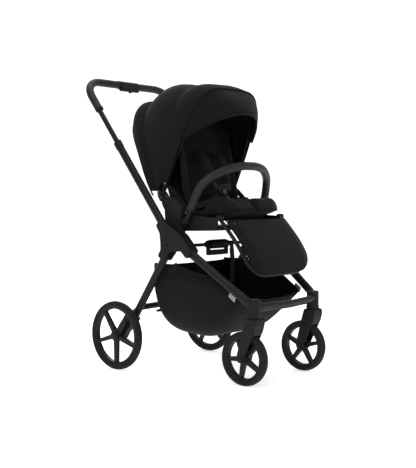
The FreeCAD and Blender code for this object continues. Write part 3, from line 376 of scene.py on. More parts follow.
@dataclass
class Pad:
    """A stuffed or foam-filled panel that follows a side-view curve."""

    name: str
    spine: np.ndarray
    half: Callable[[np.ndarray], np.ndarray]
    front: Callable[[np.ndarray, np.ndarray], np.ndarray]
    back: Callable[[np.ndarray, np.ndarray], np.ndarray]
    rows: int = 64
    columns: int = 56
    shift: Optional[Callable[[np.ndarray, np.ndarray], np.ndarray]] = None
    slide: Optional[Callable[[np.ndarray, np.ndarray], np.ndarray]] = None
    edge: float = 7.0

    def lattice(self) -> Tuple[np.ndarray, np.ndarray, np.ndarray, np.ndarray]:
        """Lay out the middle surface.

        Returns:
            Points, normals, and the two parameters s (0 to 1) and u (-1 to 1).
        """
        s1 = 0.5 - 0.5 * np.cos(np.linspace(0, math.pi, self.rows))
        s1 = 0.55 * s1 + 0.45 * np.linspace(0, 1, self.rows)
        u1 = np.sin(np.linspace(-math.pi / 2, math.pi / 2, self.columns))
        u1 = 0.5 * u1 + 0.5 * np.linspace(-1, 1, self.columns)
        s, u = np.meshgrid(s1, u1, indexing="ij")
        line = resample(self.spine, 240)
        place = np.linspace(0, 1, 240)
        y = np.interp(s, place, line[:, 0])
        z = np.interp(s, place, line[:, 1])
        tangent = np.gradient(line, axis=0)
        tangent /= np.linalg.norm(tangent, axis=1, keepdims=True)
        ny = np.interp(s, place, tangent[:, 1])
        nz = np.interp(s, place, -tangent[:, 0])
        ty = np.interp(s, place, tangent[:, 0])
        tz = np.interp(s, place, tangent[:, 1])
        x = u * self.half(s)
        if self.slide is not None:
            move = self.slide(s, u)
            y, z = y + ty * move, z + tz * move
        normal = np.stack([np.zeros_like(x), ny, nz], -1)
        points = np.stack([x, y - MID_TO_ORIGIN, z], -1)
        if self.shift is not None:
            points = points + normal * self.shift(s, u)[..., None]
        return points, normal, s, u

    def build(self) -> bpy.types.Object:
        """Close the pad from its front and back faces.

        Returns:
            The pad as one closed mesh.
        """
        points, normal, s, u = self.lattice()
        w = 2 * s - 1
        across = np.clip(1 - np.abs(u) ** self.edge, 0, 1) ** 0.5
        rim = across * np.clip(1 - np.abs(w) ** (self.edge * 2), 0, 1) ** 0.5
        top = points + normal * (self.front(s, u) * rim)[..., None]
        low = points - normal * (self.back(s, u) * rim)[..., None]
        nu, nv = s.shape
        count = nu * nv
        verts = np.vstack([top.reshape(-1, 3), low.reshape(-1, 3)])
        border = np.zeros((nu, nv), bool)
        border[0, :] = border[-1, :] = border[:, 0] = border[:, -1] = True
        merge = np.arange(2 * count)
        flat = np.flatnonzero(border.reshape(-1))
        merge[flat + count] = flat
        faces = Builder.quads(nu, nv, 0) + Builder.quads(nu, nv, count, flip=True)
        faces = [[int(merge[k]) for k in f] for f in faces]
        keep = np.unique([k for f in faces for k in f])
        number = -np.ones(2 * count, int)
        number[keep] = np.arange(len(keep))
        faces = [[int(number[k]) for k in f] for f in faces]
        return Builder.outward(Builder.mesh(self.name, verts[keep], faces))

    def edge_line(self) -> np.ndarray:
        """Find the line round the pad's rim.

        Returns:
            Ring of points.
        """
        points = self.lattice()[0]
        ring = [points[i, 0] for i in range(points.shape[0])]
        ring += [points[-1, j] for j in range(1, points.shape[1])]
        ring += [points[i, -1] for i in range(points.shape[0] - 2, -1, -1)]
        ring += [points[0, j] for j in range(points.shape[1] - 2, 0, -1)]
        return np.array(ring)


def plump(
    obj: bpy.types.Object, limit: float, voxel: float = 0.005, pressure: float = 4.0
) -> bpy.types.Object:
    """Fill a pad with air pressure so that it creases like stuffed cloth.

    Args:
        obj: a closed pad, slightly under size.
        limit: furthest a point may move, in metres.
        voxel: size of the cloth's mesh.
        pressure: strength of the filling.

    Returns:
        The plumped pad.
    """
    scene = bpy.context.scene
    remesh = obj.modifiers.new("weave", "REMESH")
    remesh.mode = "VOXEL"
    remesh.voxel_size = voxel
    bake(obj)
    rest = points_of(obj)
    cloth = obj.modifiers.new("fill", "CLOTH")
    cloth.settings.use_pressure = True
    cloth.settings.uniform_pressure_force = pressure
    cloth.settings.effector_weights.gravity = 0
    cloth.settings.quality = 5
    cloth.point_cache.frame_start = 1
    cloth.point_cache.frame_end = 20
    for number in range(1, 21):
        scene.frame_set(number)
    bake(obj)
    scene.frame_set(1)
    now = points_of(obj)
    if len(now) == len(rest):
        move = now - rest
        far = np.linalg.norm(move, axis=1, keepdims=True)
        now = rest + move * np.minimum(1, limit / np.maximum(far, 1e-9))
        centre = (rest.min(0) + rest.max(0)) / 2
        half = (rest.max(0) - rest.min(0)) / 2
        side = np.abs(rest[:, 0] - centre[0]) / half[0]
        rise = (rest[:, 2] - rest[:, 2].min()) / (2 * half[2])
        hold = np.maximum(smooth(0.80, 0.94, side), 1 - smooth(0.06, 0.16, rise))[:, None]
        now = now * (1 - hold) + rest * hold
        obj.data.vertices.foreach_set("co", now.astype(np.float32).reshape(-1))
    divide = obj.modifiers.new("finer", "SUBSURF")
    divide.levels = 1
    divide.render_levels = 1
    bake(obj)
    obj.data.polygons.foreach_set("use_smooth", [True] * len(obj.data.polygons))
    obj.data.update()
    return obj


def points_of(obj: bpy.types.Object) -> np.ndarray:
    """Read a mesh's points.

    Args:
        obj: a mesh object.

    Returns:
        Array of points.
    """
    co = np.zeros(len(obj.data.vertices) * 3, np.float32)
    obj.data.vertices.foreach_get("co", co)
    return co.reshape(-1, 3).astype(float)


def bake(obj: bpy.types.Object) -> None:
    """Apply all modifiers of an object to its mesh.

    Args:
        obj: a mesh object.
    """
    bpy.context.view_layer.update()
    depsgraph = bpy.context.evaluated_depsgraph_get()
    data = bpy.data.meshes.new_from_object(obj.evaluated_get(depsgraph))
    obj.modifiers.clear()
    obj.data = data


# ------------------------------------------------------------------ finishes
class Kind(Enum):
    """How a surface is made."""

    CLOTH = "cloth"
    WEBBING = "webbing"
    LEATHER = "leather"
    PAINT = "paint"
    MOULDED = "moulded"
    TYRE = "tyre"
    METAL = "metal"


@dataclass(frozen=True)
class Finish:
    """One material of the stroller."""

    slot: str
    kind: Kind
    colour: Point
    rough: float
    grain: float
    bump: float
    shine: float = 0.3
    coat: float = 0.0


class Sock:
    """A shader value; arithmetic on it adds Math nodes."""

    def __init__(self, graph: "Graph", socket: bpy.types.NodeSocket) -> None:
        self.graph = graph
        self.socket = socket

    def _maths(self, operation: str, other: object, swap: bool = False) -> "Sock":
        first, second = (other, self) if swap else (self, other)
        node = self.graph.node("ShaderNodeMath", {0: first, 1: second}, operation=operation)
        return Sock(self.graph, node.outputs[0])

    def __add__(self, other: object) -> "Sock":
        return self._maths("ADD", other)

    def __sub__(self, other: object) -> "Sock":
        return self._maths("SUBTRACT", other)

    def __mul__(self, other: object) -> "Sock":
        return self._maths("MULTIPLY", other)

    def wave(self) -> "Sock":
        """Take the sine.

        Returns:
            Sine of the value.
        """
        return self._maths("SINE", 0.0)


class Graph:
    """Node tree of one material."""

    def __init__(self, name: str) -> None:
        self.material = bpy.data.materials.new(name)
        self.material.use_nodes = True
        self.tree = self.material.node_tree
        self.tree.nodes.clear()

    def node(
        self, kind: str, inputs: Optional[Dict[object, object]] = None, **settings: object
    ) -> bpy.types.Node:
        """Add a node.

        Args:
            kind: node type.
            inputs: value, Sock or socket for each named or numbered input.
            settings: node properties.

        Returns:
            The node.
        """
        made = self.tree.nodes.new(kind)
        for key, value in settings.items():
            setattr(made, key, value)
        for key, value in (inputs or {}).items():
            if isinstance(value, Sock):
                self.tree.links.new(value.socket, made.inputs[key])
            elif isinstance(value, bpy.types.NodeSocket):
                self.tree.links.new(value, made.inputs[key])
            else:
                made.inputs[key].default_value = value
        return made

    def noise(self, vector: bpy.types.NodeSocket, scale: float, detail: float = 3.0) -> Sock:
        """Add soft noise.

        Args:
            vector: where to read it.
            scale: fineness.
            detail: layers.

        Returns:
            Noise from 0 to 1.
        """
        made = self.node("ShaderNodeTexNoise", {"Vector": vector, "Scale": scale, "Detail": detail})
        return Sock(self, made.outputs["Fac"])


class Paintshop:
    """Makes each finish once and hands it out by name."""

    def __init__(self, finishes: Sequence[Finish]) -> None:
        self.made: Dict[str, bpy.types.Material] = {f.slot: self.build(f) for f in finishes}

    def build(self, finish: Finish) -> bpy.types.Material:
        """Build the material of a finish.

        Args:
            finish: what to build.

        Returns:
            The material.
        """
        g = Graph(finish.slot)
        where = g.node("ShaderNodeTexCoord").outputs["Object"]
        broad = g.noise(where, 9.0, 4.0)
        fine = g.noise(where, finish.grain, 2.0)
        if finish.kind in (Kind.CLOTH, Kind.WEBBING):
            axes = g.node("ShaderNodeSeparateXYZ", {0: where})
            pitch = 2600.0 if finish.kind is Kind.CLOTH else 1700.0
            warp = (Sock(g, axes.outputs[0]) + Sock(g, axes.outputs[1])) * pitch
            weft = (Sock(g, axes.outputs[2]) + Sock(g, axes.outputs[1]) * 0.5) * pitch
            height = warp.wave() * weft.wave() * 0.35 + fine
        elif finish.kind is Kind.LEATHER:
            cells = g.node("ShaderNodeTexVoronoi", {"Vector": where, "Scale": finish.grain})
            height = Sock(g, cells.outputs["Distance"]) + fine * 0.4
        else:
            height = fine
        bump = g.node("ShaderNodeBump", {"Strength": finish.bump, "Distance": 0.001, "Height": height})
        dark, light = ((*[c * share for c in finish.colour], 1) for share in (0.78, 1.22))
        shade = g.node(
            "ShaderNodeMix",
            {0: broad, 6: dark, 7: light},
            data_type="RGBA",
        )
        rough = (broad - 0.5) * 0.16 + finish.rough
        shader = g.node(
            "ShaderNodeBsdfPrincipled",
            {
                "Base Color": shade.outputs[2],
                "Roughness": rough,
                "Normal": bump.outputs[0],
                "Metallic": 1.0 if finish.kind is Kind.METAL else 0.0,
                "Specular IOR Level": finish.shine,
                "Coat Weight": finish.coat,
            },
        )
        if finish.kind in (Kind.CLOTH, Kind.WEBBING):
            shader.inputs["Sheen Weight"].default_value = 0.03
            shader.inputs["Sheen Roughness"].default_value = 0.5
        g.node("ShaderNodeOutputMaterial", {"Surface": shader.outputs[0]})
        return g.material

    def give(self, obj: bpy.types.Object, slot: str) -> bpy.types.Object:
        """Put a finish on an object.

        Args:
            obj: a mesh object.
            slot: finish name.

        Returns:
            The same object.
        """
        obj.data.materials.clear()
        obj.data.materials.append(self.made[slot])
        return obj

    def fasten(self, obj: bpy.types.Object, slot: str, body: str) -> None:
        """Finish a piece and let it move with a body.

        Args:
            obj: the piece.
            slot: its finish.
            body: what it moves with.
        """
        self.give(obj, slot)
        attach(obj, body)


FINISHES = (
    Finish("frame_black", Kind.PAINT, (0.0075, 0.0075, 0.0080), 0.44, 900.0, 0.08, 0.15),
    Finish("moulded_black", Kind.MOULDED, (0.0085, 0.0085, 0.0090), 0.58, 1400.0, 0.14, 0.15),
    Finish("rim_black", Kind.MOULDED, (0.0075, 0.0075, 0.0080), 0.50, 1400.0, 0.10, 0.16),
    Finish("tyre_black", Kind.TYRE, (0.0110, 0.0110, 0.0115), 0.74, 700.0, 0.22, 0.14),
    Finish("axle_steel", Kind.METAL, (0.22, 0.22, 0.23), 0.34, 900.0, 0.05, 0.5),
    Finish("leather_black", Kind.LEATHER, (0.0140, 0.0140, 0.0145), 0.50, 650.0, 0.20, 0.20),
    Finish("bracket_grey", Kind.MOULDED, (0.045, 0.045, 0.047), 0.52, 1200.0, 0.10, 0.30),
    Finish("cloth_black", Kind.CLOTH, (0.0052, 0.0052, 0.0057), 0.88, 1500.0, 0.28, 0.10),
    Finish("basket_cloth", Kind.CLOTH, (0.0060, 0.0060, 0.0065), 0.84, 1300.0, 0.32, 0.12),
    Finish("webbing_black", Kind.WEBBING, (0.0085, 0.0085, 0.0090), 0.72, 1200.0, 0.32, 0.20),
    Finish("reflective_grey", Kind.WEBBING, (0.24, 0.24, 0.25), 0.38, 1600.0, 0.10, 0.5),
)


# ------------------------------------------------------------------ sewn parts
@dataclass(frozen=True)
class Arch:
    """One section of the hood, in a plane that leans through the hinge line."""

    lean: float
    reach: float
    half: float
    power: float = 3.1
    kick: float = 0.0

    def values(self) -> Tuple[float, ...]:
        """List the five numbers.

        Returns:
            Lean, reach, half width, squareness and kick.
        """
        return (self.lean, self.reach, self.half, self.power, self.kick)


@dataclass
class Canopy:
    """Hood of three lobes over two ribs and a front hoop, with a peaked sun visor."""

    shop: Paintshop
    hinge_y: float = 0.100
    hinge_z: float = 0.664
    foot: float = 0.012
    rim: Arch = Arch(54.0, 0.405, 0.212, 3.1, 0.034)
    rear: Arch = Arch(67.0, 0.4116, 0.212, 3.1, 0.010)
    middle: Arch = Arch(98.0, 0.4250, 0.2135, 4.0)
    hoop: Arch = Arch(113.2, 0.4450, 0.207, 4.2)
    crowns: Tuple[Arch, ...] = (
        Arch(60.0, 0.4400, 0.216, 3.1, 0.022),
        Arch(82.0, 0.4420, 0.2155, 3.35, 0.003),
        Arch(107.0, 0.4500, 0.2115, 4.0),
    )

    def hinge(self) -> np.ndarray:
        """Find the middle of the hinge line.

        Returns:
            The point.
        """
        return at(0, self.hinge_y, self.hinge_z)

    def curve(
        self, arch: Arch, count: int = 96, foot: Optional[float] = None, grow: float = 0.0
    ) -> np.ndarray:
        """Points of one arch.

        Args:
            arch: its sizes.
            count: number of points.
            foot: how far above the hinge the ends stop.
            grow: extra size all round.

        Returns:
            Points from the left foot to the right foot.
        """
        foot = self.foot if foot is None else foot
        reach, half, power = arch.reach + grow, arch.half + grow, arch.power
        limit = math.asin(min(1.0, (foot / reach) ** (power / 2)))
        turn = np.linspace(limit, math.pi - limit, 4 * count)
        c, s = np.cos(turn), np.sin(turn)
        t = reach * np.abs(s) ** (2 / power)
        lean = math.radians(arch.lean)
        back = arch.kick * (1 - smooth(0.0, 0.26, t))
        out = np.stack([
            half * np.sign(c) * np.abs(c) ** (2 / power),
            self.hinge_y + t * math.cos(lean) + back - MID_TO_ORIGIN,
            self.hinge_z + t * math.sin(lean),
        ], axis=1)
        return resample(out[::3], count)

    def lobe(self, first: Arch, crown: Arch, last: Arch, steps: int = 17) -> List[np.ndarray]:
        """Rows of cloth that bulge between two arches.

        Args:
            first: arch at the back.
            crown: fullest section.
            last: arch at the front.
            steps: number of rows.

        Returns:
            Rows of points.
        """
        a, b, c = (np.array(k.values()) for k in (first, crown, last))
        top = (crown.lean - first.lean) / (last.lean - first.lean)
        rows = []
        for q in np.linspace(0, 1, steps):
            share = (
                (q - top) * (q - 1) / top,
                q * (q - 1) / (top * (top - 1)),
                q * (q - top) / (1 - top),
            )
            sizes = share[0] * a + share[1] * b + share[2] * c
            sizes[0] = a[0] + (c[0] - a[0]) * q
            rows.append(self.curve(Arch(*sizes)))
        return rows

    def build(self) -> None:
        """Make the cloth, its seams, the visor and the panel behind the head."""
        rows = self.lobe(self.rim, self.crowns[0], self.rear)
        rows += self.lobe(self.rear, self.crowns[1], self.middle, 21)[1:]
        rows += self.lobe(self.middle, self.crowns[2], self.hoop, 13)[1:]
        grid = np.array(rows)
        centre = self.hinge() + np.array([0, 0, 0.18])
        outward = grid - centre
        outward /= np.linalg.norm(outward, axis=-1, keepdims=True)
        height = smooth(0.02, 0.14, np.linalg.norm(grid - self.hinge(), axis=-1) - np.abs(grid[..., 0]) * 0.6)
        ripple = Grain(3)(grid * np.array([1.0, 1.0, 0.5]))
        grid = grid + outward * (ripple * 0.0014 * height)[..., None]
        cloth = Builder.sheet("canopy_cloth", grid, 0.0018)
        seams = [
            Builder.tube("rim_binding", self.curve(self.rim, 130, grow=0.0008), 0.0030, sides=8),
            Builder.tube("rib_seam", self.curve(self.rear, 130, grow=0.0006), 0.0013, sides=8),
            Builder.tube("hoop_piping", self.curve(self.hoop, 140, grow=0.0018), 0.0034, sides=10),
        ]
        whole = Builder.join([cloth] + seams, "canopy_cloth")
        self.shop.give(whole, "cloth_black")
        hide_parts("canopy_fabric")
        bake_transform(whole)
        self.visor()
        self.back_panel()

    def visor(self) -> None:
        """Peak that starts at the front hoop and ends at a bound brow edge."""
        lean = math.radians(self.hoop.lean)
        along = np.array([0, math.cos(lean), math.sin(lean)])
        ahead = np.array([0, -math.sin(lean), math.cos(lean)])
        low, peak, side, out = self.hoop.reach * 0.55, self.hoop.reach * 0.86, 0.010, 0.090
        top = self.curve(self.hoop, 91, foot=low)
        across = np.linspace(1, -1, 91)
        brow = self.hinge() + np.outer(peak - (peak - low) * np.abs(across) ** 2.1, along)
        brow += np.outer(side + out * (1 - across**2), ahead)
        brow[:, 0] = across * self.hoop.half
        share = np.linspace(0, 1, 21)[:, None, None]
        grid = top[None] * (1 - share) + brow[None] * share
        swell = np.sin(math.pi * share[..., 0]) * (1 - across[None] ** 4)
        crease = Grain(8)(grid * np.array([1, 1, 1.3])) * 0.0011
        grid = grid + (along + ahead) * (0.008 * swell + crease * np.sin(math.pi * share[..., 0]))[..., None]
        panel = Builder.sheet("visor_panel", grid, 0.0026)
        binding = Builder.tube("brow_binding", resample(grid[-1], 150), 0.0034, 0.0026, sides=10)
        stitch_line = resample(grid[-3] + (along + ahead) * 0.0006, 150)
        stitch = Builder.tube("brow_stitch", stitch_line, 0.0007, sides=6)
        whole = Builder.join([panel, binding, stitch], "sun_visor_cloth")
        self.shop.give(whole, "cloth_black")
        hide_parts("sun_visor")
        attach(whole, "canopy_front")

    def back_panel(self) -> None:
        """Cloth that closes the hood down to the backrest."""
        outer = self.curve(self.rim, 96)
        lean = math.radians(69)
        distance = (outer[:, 2] - 0.664) * 1.02 + 0.070
        inner = np.stack([
            outer[:, 0] * 0.82,
            0.062 + distance * math.cos(lean) + 0.012 - MID_TO_ORIGIN,
            0.600 + distance * math.sin(lean),
        ], axis=1)
        share = np.linspace(0, 1, 11)[:, None, None]
        grid = outer[None] * (1 - share) + inner[None] * share
        grid[..., 1] += 0.010 * np.sin(math.pi * share[..., 0])
        panel = Builder.sheet("hood_back_panel", grid, 0.0015)
        self.shop.fasten(panel, "cloth_black", "backrest")


@dataclass
class Seat:
    """Liner, cushion, wings and harness of the seat unit."""

    shop: Paintshop

    def cushion(self) -> None:
        """Seat cushion with two thigh lobes over the footrest."""
        def crown(s: np.ndarray, u: np.ndarray) -> np.ndarray:
            rise = 0.012 + 0.031 * smooth(0.30, 0.66, s) * (1 - 0.75 * smooth(0.80, 1.0, s))
            bolster = 0.016 * smooth(0.55, 0.92, np.abs(u)) * (1 - smooth(0.82, 1.0, s))
            dip = 0.012 * np.exp(-((u / 0.13) ** 2)) * smooth(0.4, 0.8, s)
            return rise + bolster - dip

        pad = Pad(
            name="seat_cushion",
            spine=np.array([
                (0.030, 0.592), (-0.04, 0.592), (-0.10, 0.605), (-0.152, 0.615), (-0.198, 0.617),
            ]),
            half=lambda s: 0.168 - 0.050 * smooth(0.78, 1.0, s) ** 2.0,
            front=crown,
            back=lambda s, u: 0.016 - 0.012 * smooth(0.55, 0.9, s),
            slide=lambda s, u: -0.012 * smooth(0.7, 1.0, s) * np.exp(-((u / 0.10) ** 2)),
            rows=76,
            columns=76,
        )
        body = pad.build()
        body = plump(body, 0.006)
        self.shop.give(body, "cloth_black")
        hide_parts("seat_pad")
        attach(body, "chassis")
        ring = pad.edge_line()
        piping = Builder.tube("seat_cushion_piping", resample(ring, 260), 0.0022, sides=8)
        self.shop.fasten(piping, "cloth_black", "chassis")

    def back(self) -> None:
        """Back liner with wings that turn forward at the sides."""
        pad = Pad(
            name="back_liner",
            spine=np.array([
                (0.155, 0.985), (0.128, 0.950), (0.103, 0.870),
                (0.082, 0.780), (0.066, 0.690), (0.055, 0.625),
            ]),
            half=lambda s: 0.158 - 0.056 * (1 - smooth(0.0, 0.16, s)) ** 1.6,
            front=lambda s, u: 0.012 + 0.006 * np.cos(u * math.pi / 1.25) ** 2,
            back=lambda s, u: 0.008 + 0 * s,
            shift=lambda s, u: 0.034 * smooth(0.66, 1.0, np.abs(u)) * smooth(0.0, 0.2, s),
            rows=84,
            columns=64,
        )
        body = plump(pad.build(), 0.006)
        self.shop.give(body, "cloth_black")
        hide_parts("backrest_pad")
        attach(body, "backrest")

    def wings(self) -> None:
        """Padded rolls between the hood and the seat shell."""
        for side, word in ((1, "left"), (-1, "right")):
            roll_path = resample([
                at(side * 0.188, 0.098, 0.712),
                at(side * 0.191, 0.070, 0.700),
                at(side * 0.193, 0.030, 0.665),
                at(side * 0.193, -0.004, 0.630),
                at(side * 0.192, -0.022, 0.606),
            ], 60)
            ends = np.sin(np.linspace(0.25, math.pi - 0.25, 60)) ** 0.35
            roll = Builder.tube(
                "seat_roll_" + word, roll_path, 0.010, 0.007, sides=16, wide_axis=(0, 0.8, -0.6), taper=ends
            )
            self.shop.give(roll, "cloth_black")
            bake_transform(roll)

    def harness(self) -> None:
        """Shoulder pads, waist straps and buckle face."""
        pads, straps = [], []
        for side in (1, -1):
            x = side * 0.050
            path = resample([
                at(x, 0.080, 0.800),
                at(x, 0.074, 0.822),
                at(x, 0.052, 0.832),
                at(x, 0.028, 0.818),
                at(x * 0.98, 0.010, 0.788),
                at(x * 0.94, -0.004, 0.752),
                at(x * 0.88, -0.018, 0.722),
            ], 70)
            ends = np.clip(np.sin(np.linspace(0.12, math.pi - 0.12, 70)) ** 0.25, 0.3, 1)
            pads.append(Builder.tube(
                "pad", path, 0.023, 0.0065, sides=20, wide_axis=(1, 0, 0), taper=ends, square=0.7
            ))
            strap = resample([
                at(x * 0.88, -0.016, 0.726),
                at(x * 0.7, -0.026, 0.708),
                at(x * 0.42, -0.032, 0.697),
            ], 16)
            straps.append(Builder.tube("strap", strap, *WEBBING, sides=12, wide_axis=(1, 0, 0), square=0.5))
            waist = resample([
                at(side * 0.020, -0.025, 0.672),
                at(side * 0.060, -0.020, 0.650),
                at(side * 0.110, 0.000, 0.636),
                at(side * 0.150, 0.026, 0.634),
            ], 30)
            facing = (0, 0.35, 0.94)
            straps.append(Builder.tube("strap", waist, *WEBBING, sides=12, wide_axis=facing, square=0.5))
        both = Builder.join(pads, "shoulder_pad_pair")
        self.shop.give(both, "cloth_black")
        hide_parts("shoulder_pads")
        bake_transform(both)
        webs = Builder.join(straps, "harness_straps")
        self.shop.fasten(webs, "webbing_black", "chassis")
        face = Builder.button("buckle_button", at(0, -0.0335, 0.688), (0, -1, 0.1), 0.0105, 0.0035)
        self.shop.fasten(face, "bracket_grey", "chassis")


@dataclass
class Footrest:
    """Padded calf panel inside a bent tube."""

    shop: Paintshop
    curve: Tuple[Tuple[float, float], ...] = (
        (-0.165, 0.597), (-0.213, 0.547), (-0.259, 0.493), (-0.292, 0.437), (-0.3095, 0.391),
    )

    def face(self, lift: float) -> np.ndarray:
        """Side-view line of the calf panel.

        Args:
            lift: how far in front of the bent tube's plane.

        Returns:
            Rows of (y, z).
        """
        line = resample(np.array(self.curve), 60)[6:]
        run = np.gradient(line, axis=0)
        run /= np.linalg.norm(run, axis=1, keepdims=True)
        return line + np.stack([run[:, 1], -run[:, 0]], axis=1) * lift

    def build(self) -> None:
        """Make the pad, its piping and the two snaps."""
        def half(s: np.ndarray) -> np.ndarray:
            length = 0.245
            radius = 0.078
            left = np.clip((1 - s) * length, 0, radius)
            return 0.178 - (radius - np.sqrt(np.maximum(radius**2 - (radius - left) ** 2, 0)))

        pad = Pad(
            name="calf_pad",
            spine=self.face(0.0075),
            half=half,
            front=lambda s, u: 0.0080 + 0.0030 * (1 - u * u),
            back=lambda s, u: 0.0070 + 0 * s,
            rows=72,
            columns=72,
        )
        body = plump(pad.build(), 0.005)
        self.shop.give(body, "cloth_black")
        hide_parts("footrest_pad")
        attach(body, "footrest")
        line = resample(pad.edge_line(), 300)
        piping = Builder.tube("calf_pad_piping", line, 0.0022, sides=8)
        self.shop.fasten(piping, "cloth_black", "footrest")
        snaps = []
        for x, s in ((-0.155, 0.10), (0.155, 0.10), (-0.150, 0.62), (0.150, 0.62)):
            points, normal, rows, columns = pad.lattice()
            i = int(np.argmin(np.abs(rows[:, 0] - s)))
            j = int(np.argmin(np.abs(points[i, :, 0] - x)))
            n = normal[i, j]
            snaps.append(Builder.button("snap", points[i, j] + n * 0.006, n, 0.0045, 0.003))
        fixed = Builder.join(snaps, "calf_pad_snaps")
        self.shop.fasten(fixed, "bracket_grey", "footrest")


@dataclass
class Basket:
    """Cloth storage basket hung between the front legs and the rear frame."""

    shop: Paintshop
    stations: Tuple[Tuple[float, float, float, float], ...] = (
        (0.129, 0.414, 0.404, 0.205),
        (0.136, 0.414, 0.330, 0.210),
        (0.137, 0.413, 0.262, 0.211),
        (0.124, 0.412, 0.200, 0.211),
        (0.096, 0.412, 0.166, 0.211),
        (0.030, 0.411, 0.150, 0.211),
        (-0.055, 0.392, 0.150, 0.211),
        (-0.120, 0.379, 0.169, 0.203),
        (-0.170, 0.362, 0.202, 0.192),
        (-0.220, 0.335, 0.247, 0.181),
        (-0.256, 0.314, 0.288, 0.172),
        (-0.264, 0.310, 0.302, 0.170),
    )

    def shell(self) -> np.ndarray:
        """Lay out the basket's outer face.

        Returns:
            Rows from back to front, columns from the left rim down and up to the right rim.
        """
        line = resample(self.stations, 72)
        turn = np.linspace(0, math.pi, 84)
        c, s = np.cos(turn), np.sin(turn)
        p = 4.6
        ex = np.sign(c) * np.abs(c) ** (2 / p)
        ez = np.abs(s) ** (2 / p)
        grid = np.zeros((72, 84, 3))
        grid[..., 0] = line[:, 3:4] * ex[None]
        grid[..., 1] = line[:, 0:1] - MID_TO_ORIGIN
        grid[..., 2] = line[:, 1:2] - (line[:, 1:2] - line[:, 2:3]) * ez[None]
        deep = ez[None] * smooth(0.0, 0.1, (line[:, 1:2] - line[:, 2:3]))
        side = np.abs(ex)[None] ** 3
        grain = Grain(21)(grid * np.array([1.0, 0.8, 1.4]))
        # sides belly out a little half-way down and gather below the rim
        belly = np.sin(np.clip((line[:, 1:2] - grid[..., 2]) / 0.25, 0, 1) * math.pi)
        grid[..., 0] -= np.sign(ex)[None] * side * (0.004 - 0.004 * belly + grain * 0.0022)
        grid[..., 2] += deep * (grain * 0.0030) * (1 - side) - 0.006 * (1 - ex[None] ** 2) * deep
        rim_dip = 0.012 * (1 - ex[None] ** 2) * (1 - deep)
        grid[..., 2] -= rim_dip * smooth(-0.1, -0.26, line[:, 0:1])
        return grid

    def build(self) -> None:
        """Make the cloth, hem, piping and front pocket seam."""
        grid = self.shell()
        cloth = Builder.sheet("basket_cloth", grid, 0.0022)
        rim = np.vstack([grid[:, 0], grid[-1, 1:-1], grid[::-1, -1], grid[0, -2:0:-1]])
        hem = Builder.tube("hem", resample(np.vstack([rim, rim[:1]]), 260), 0.0042, 0.0030, sides=10)
        pieces = [cloth, hem]
        for side in (0, 1):
            column = 6 if side == 0 else 77
            start = int(np.argmin(np.abs(grid[:, 42, 1] - (-0.046 - MID_TO_ORIGIN))))
            rows = np.arange(start, 70)
            columns = np.clip(np.linspace(26, 2, len(rows)), 0, 83).astype(float)
            if side == 1:
                columns = 83 - columns
            line = np.array([
                grid[r, int(k)] * (1 - k % 1) + grid[r, min(83, int(k) + 1)] * (k % 1)
                for r, k in zip(rows, columns)
            ])
            pieces.append(Builder.tube("pipe%d" % column, resample(line, 90), 0.0026, sides=8))
            low = grid[8:start + 1, 26 if side == 0 else 57]
            pieces.append(Builder.tube("crease%d" % column, resample(low, 70), 0.0012, sides=6))
        whole = Builder.join(pieces, "storage_basket_cloth")
        self.shop.give(whole, "basket_cloth")
        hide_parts("storage_basket")
        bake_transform(whole)


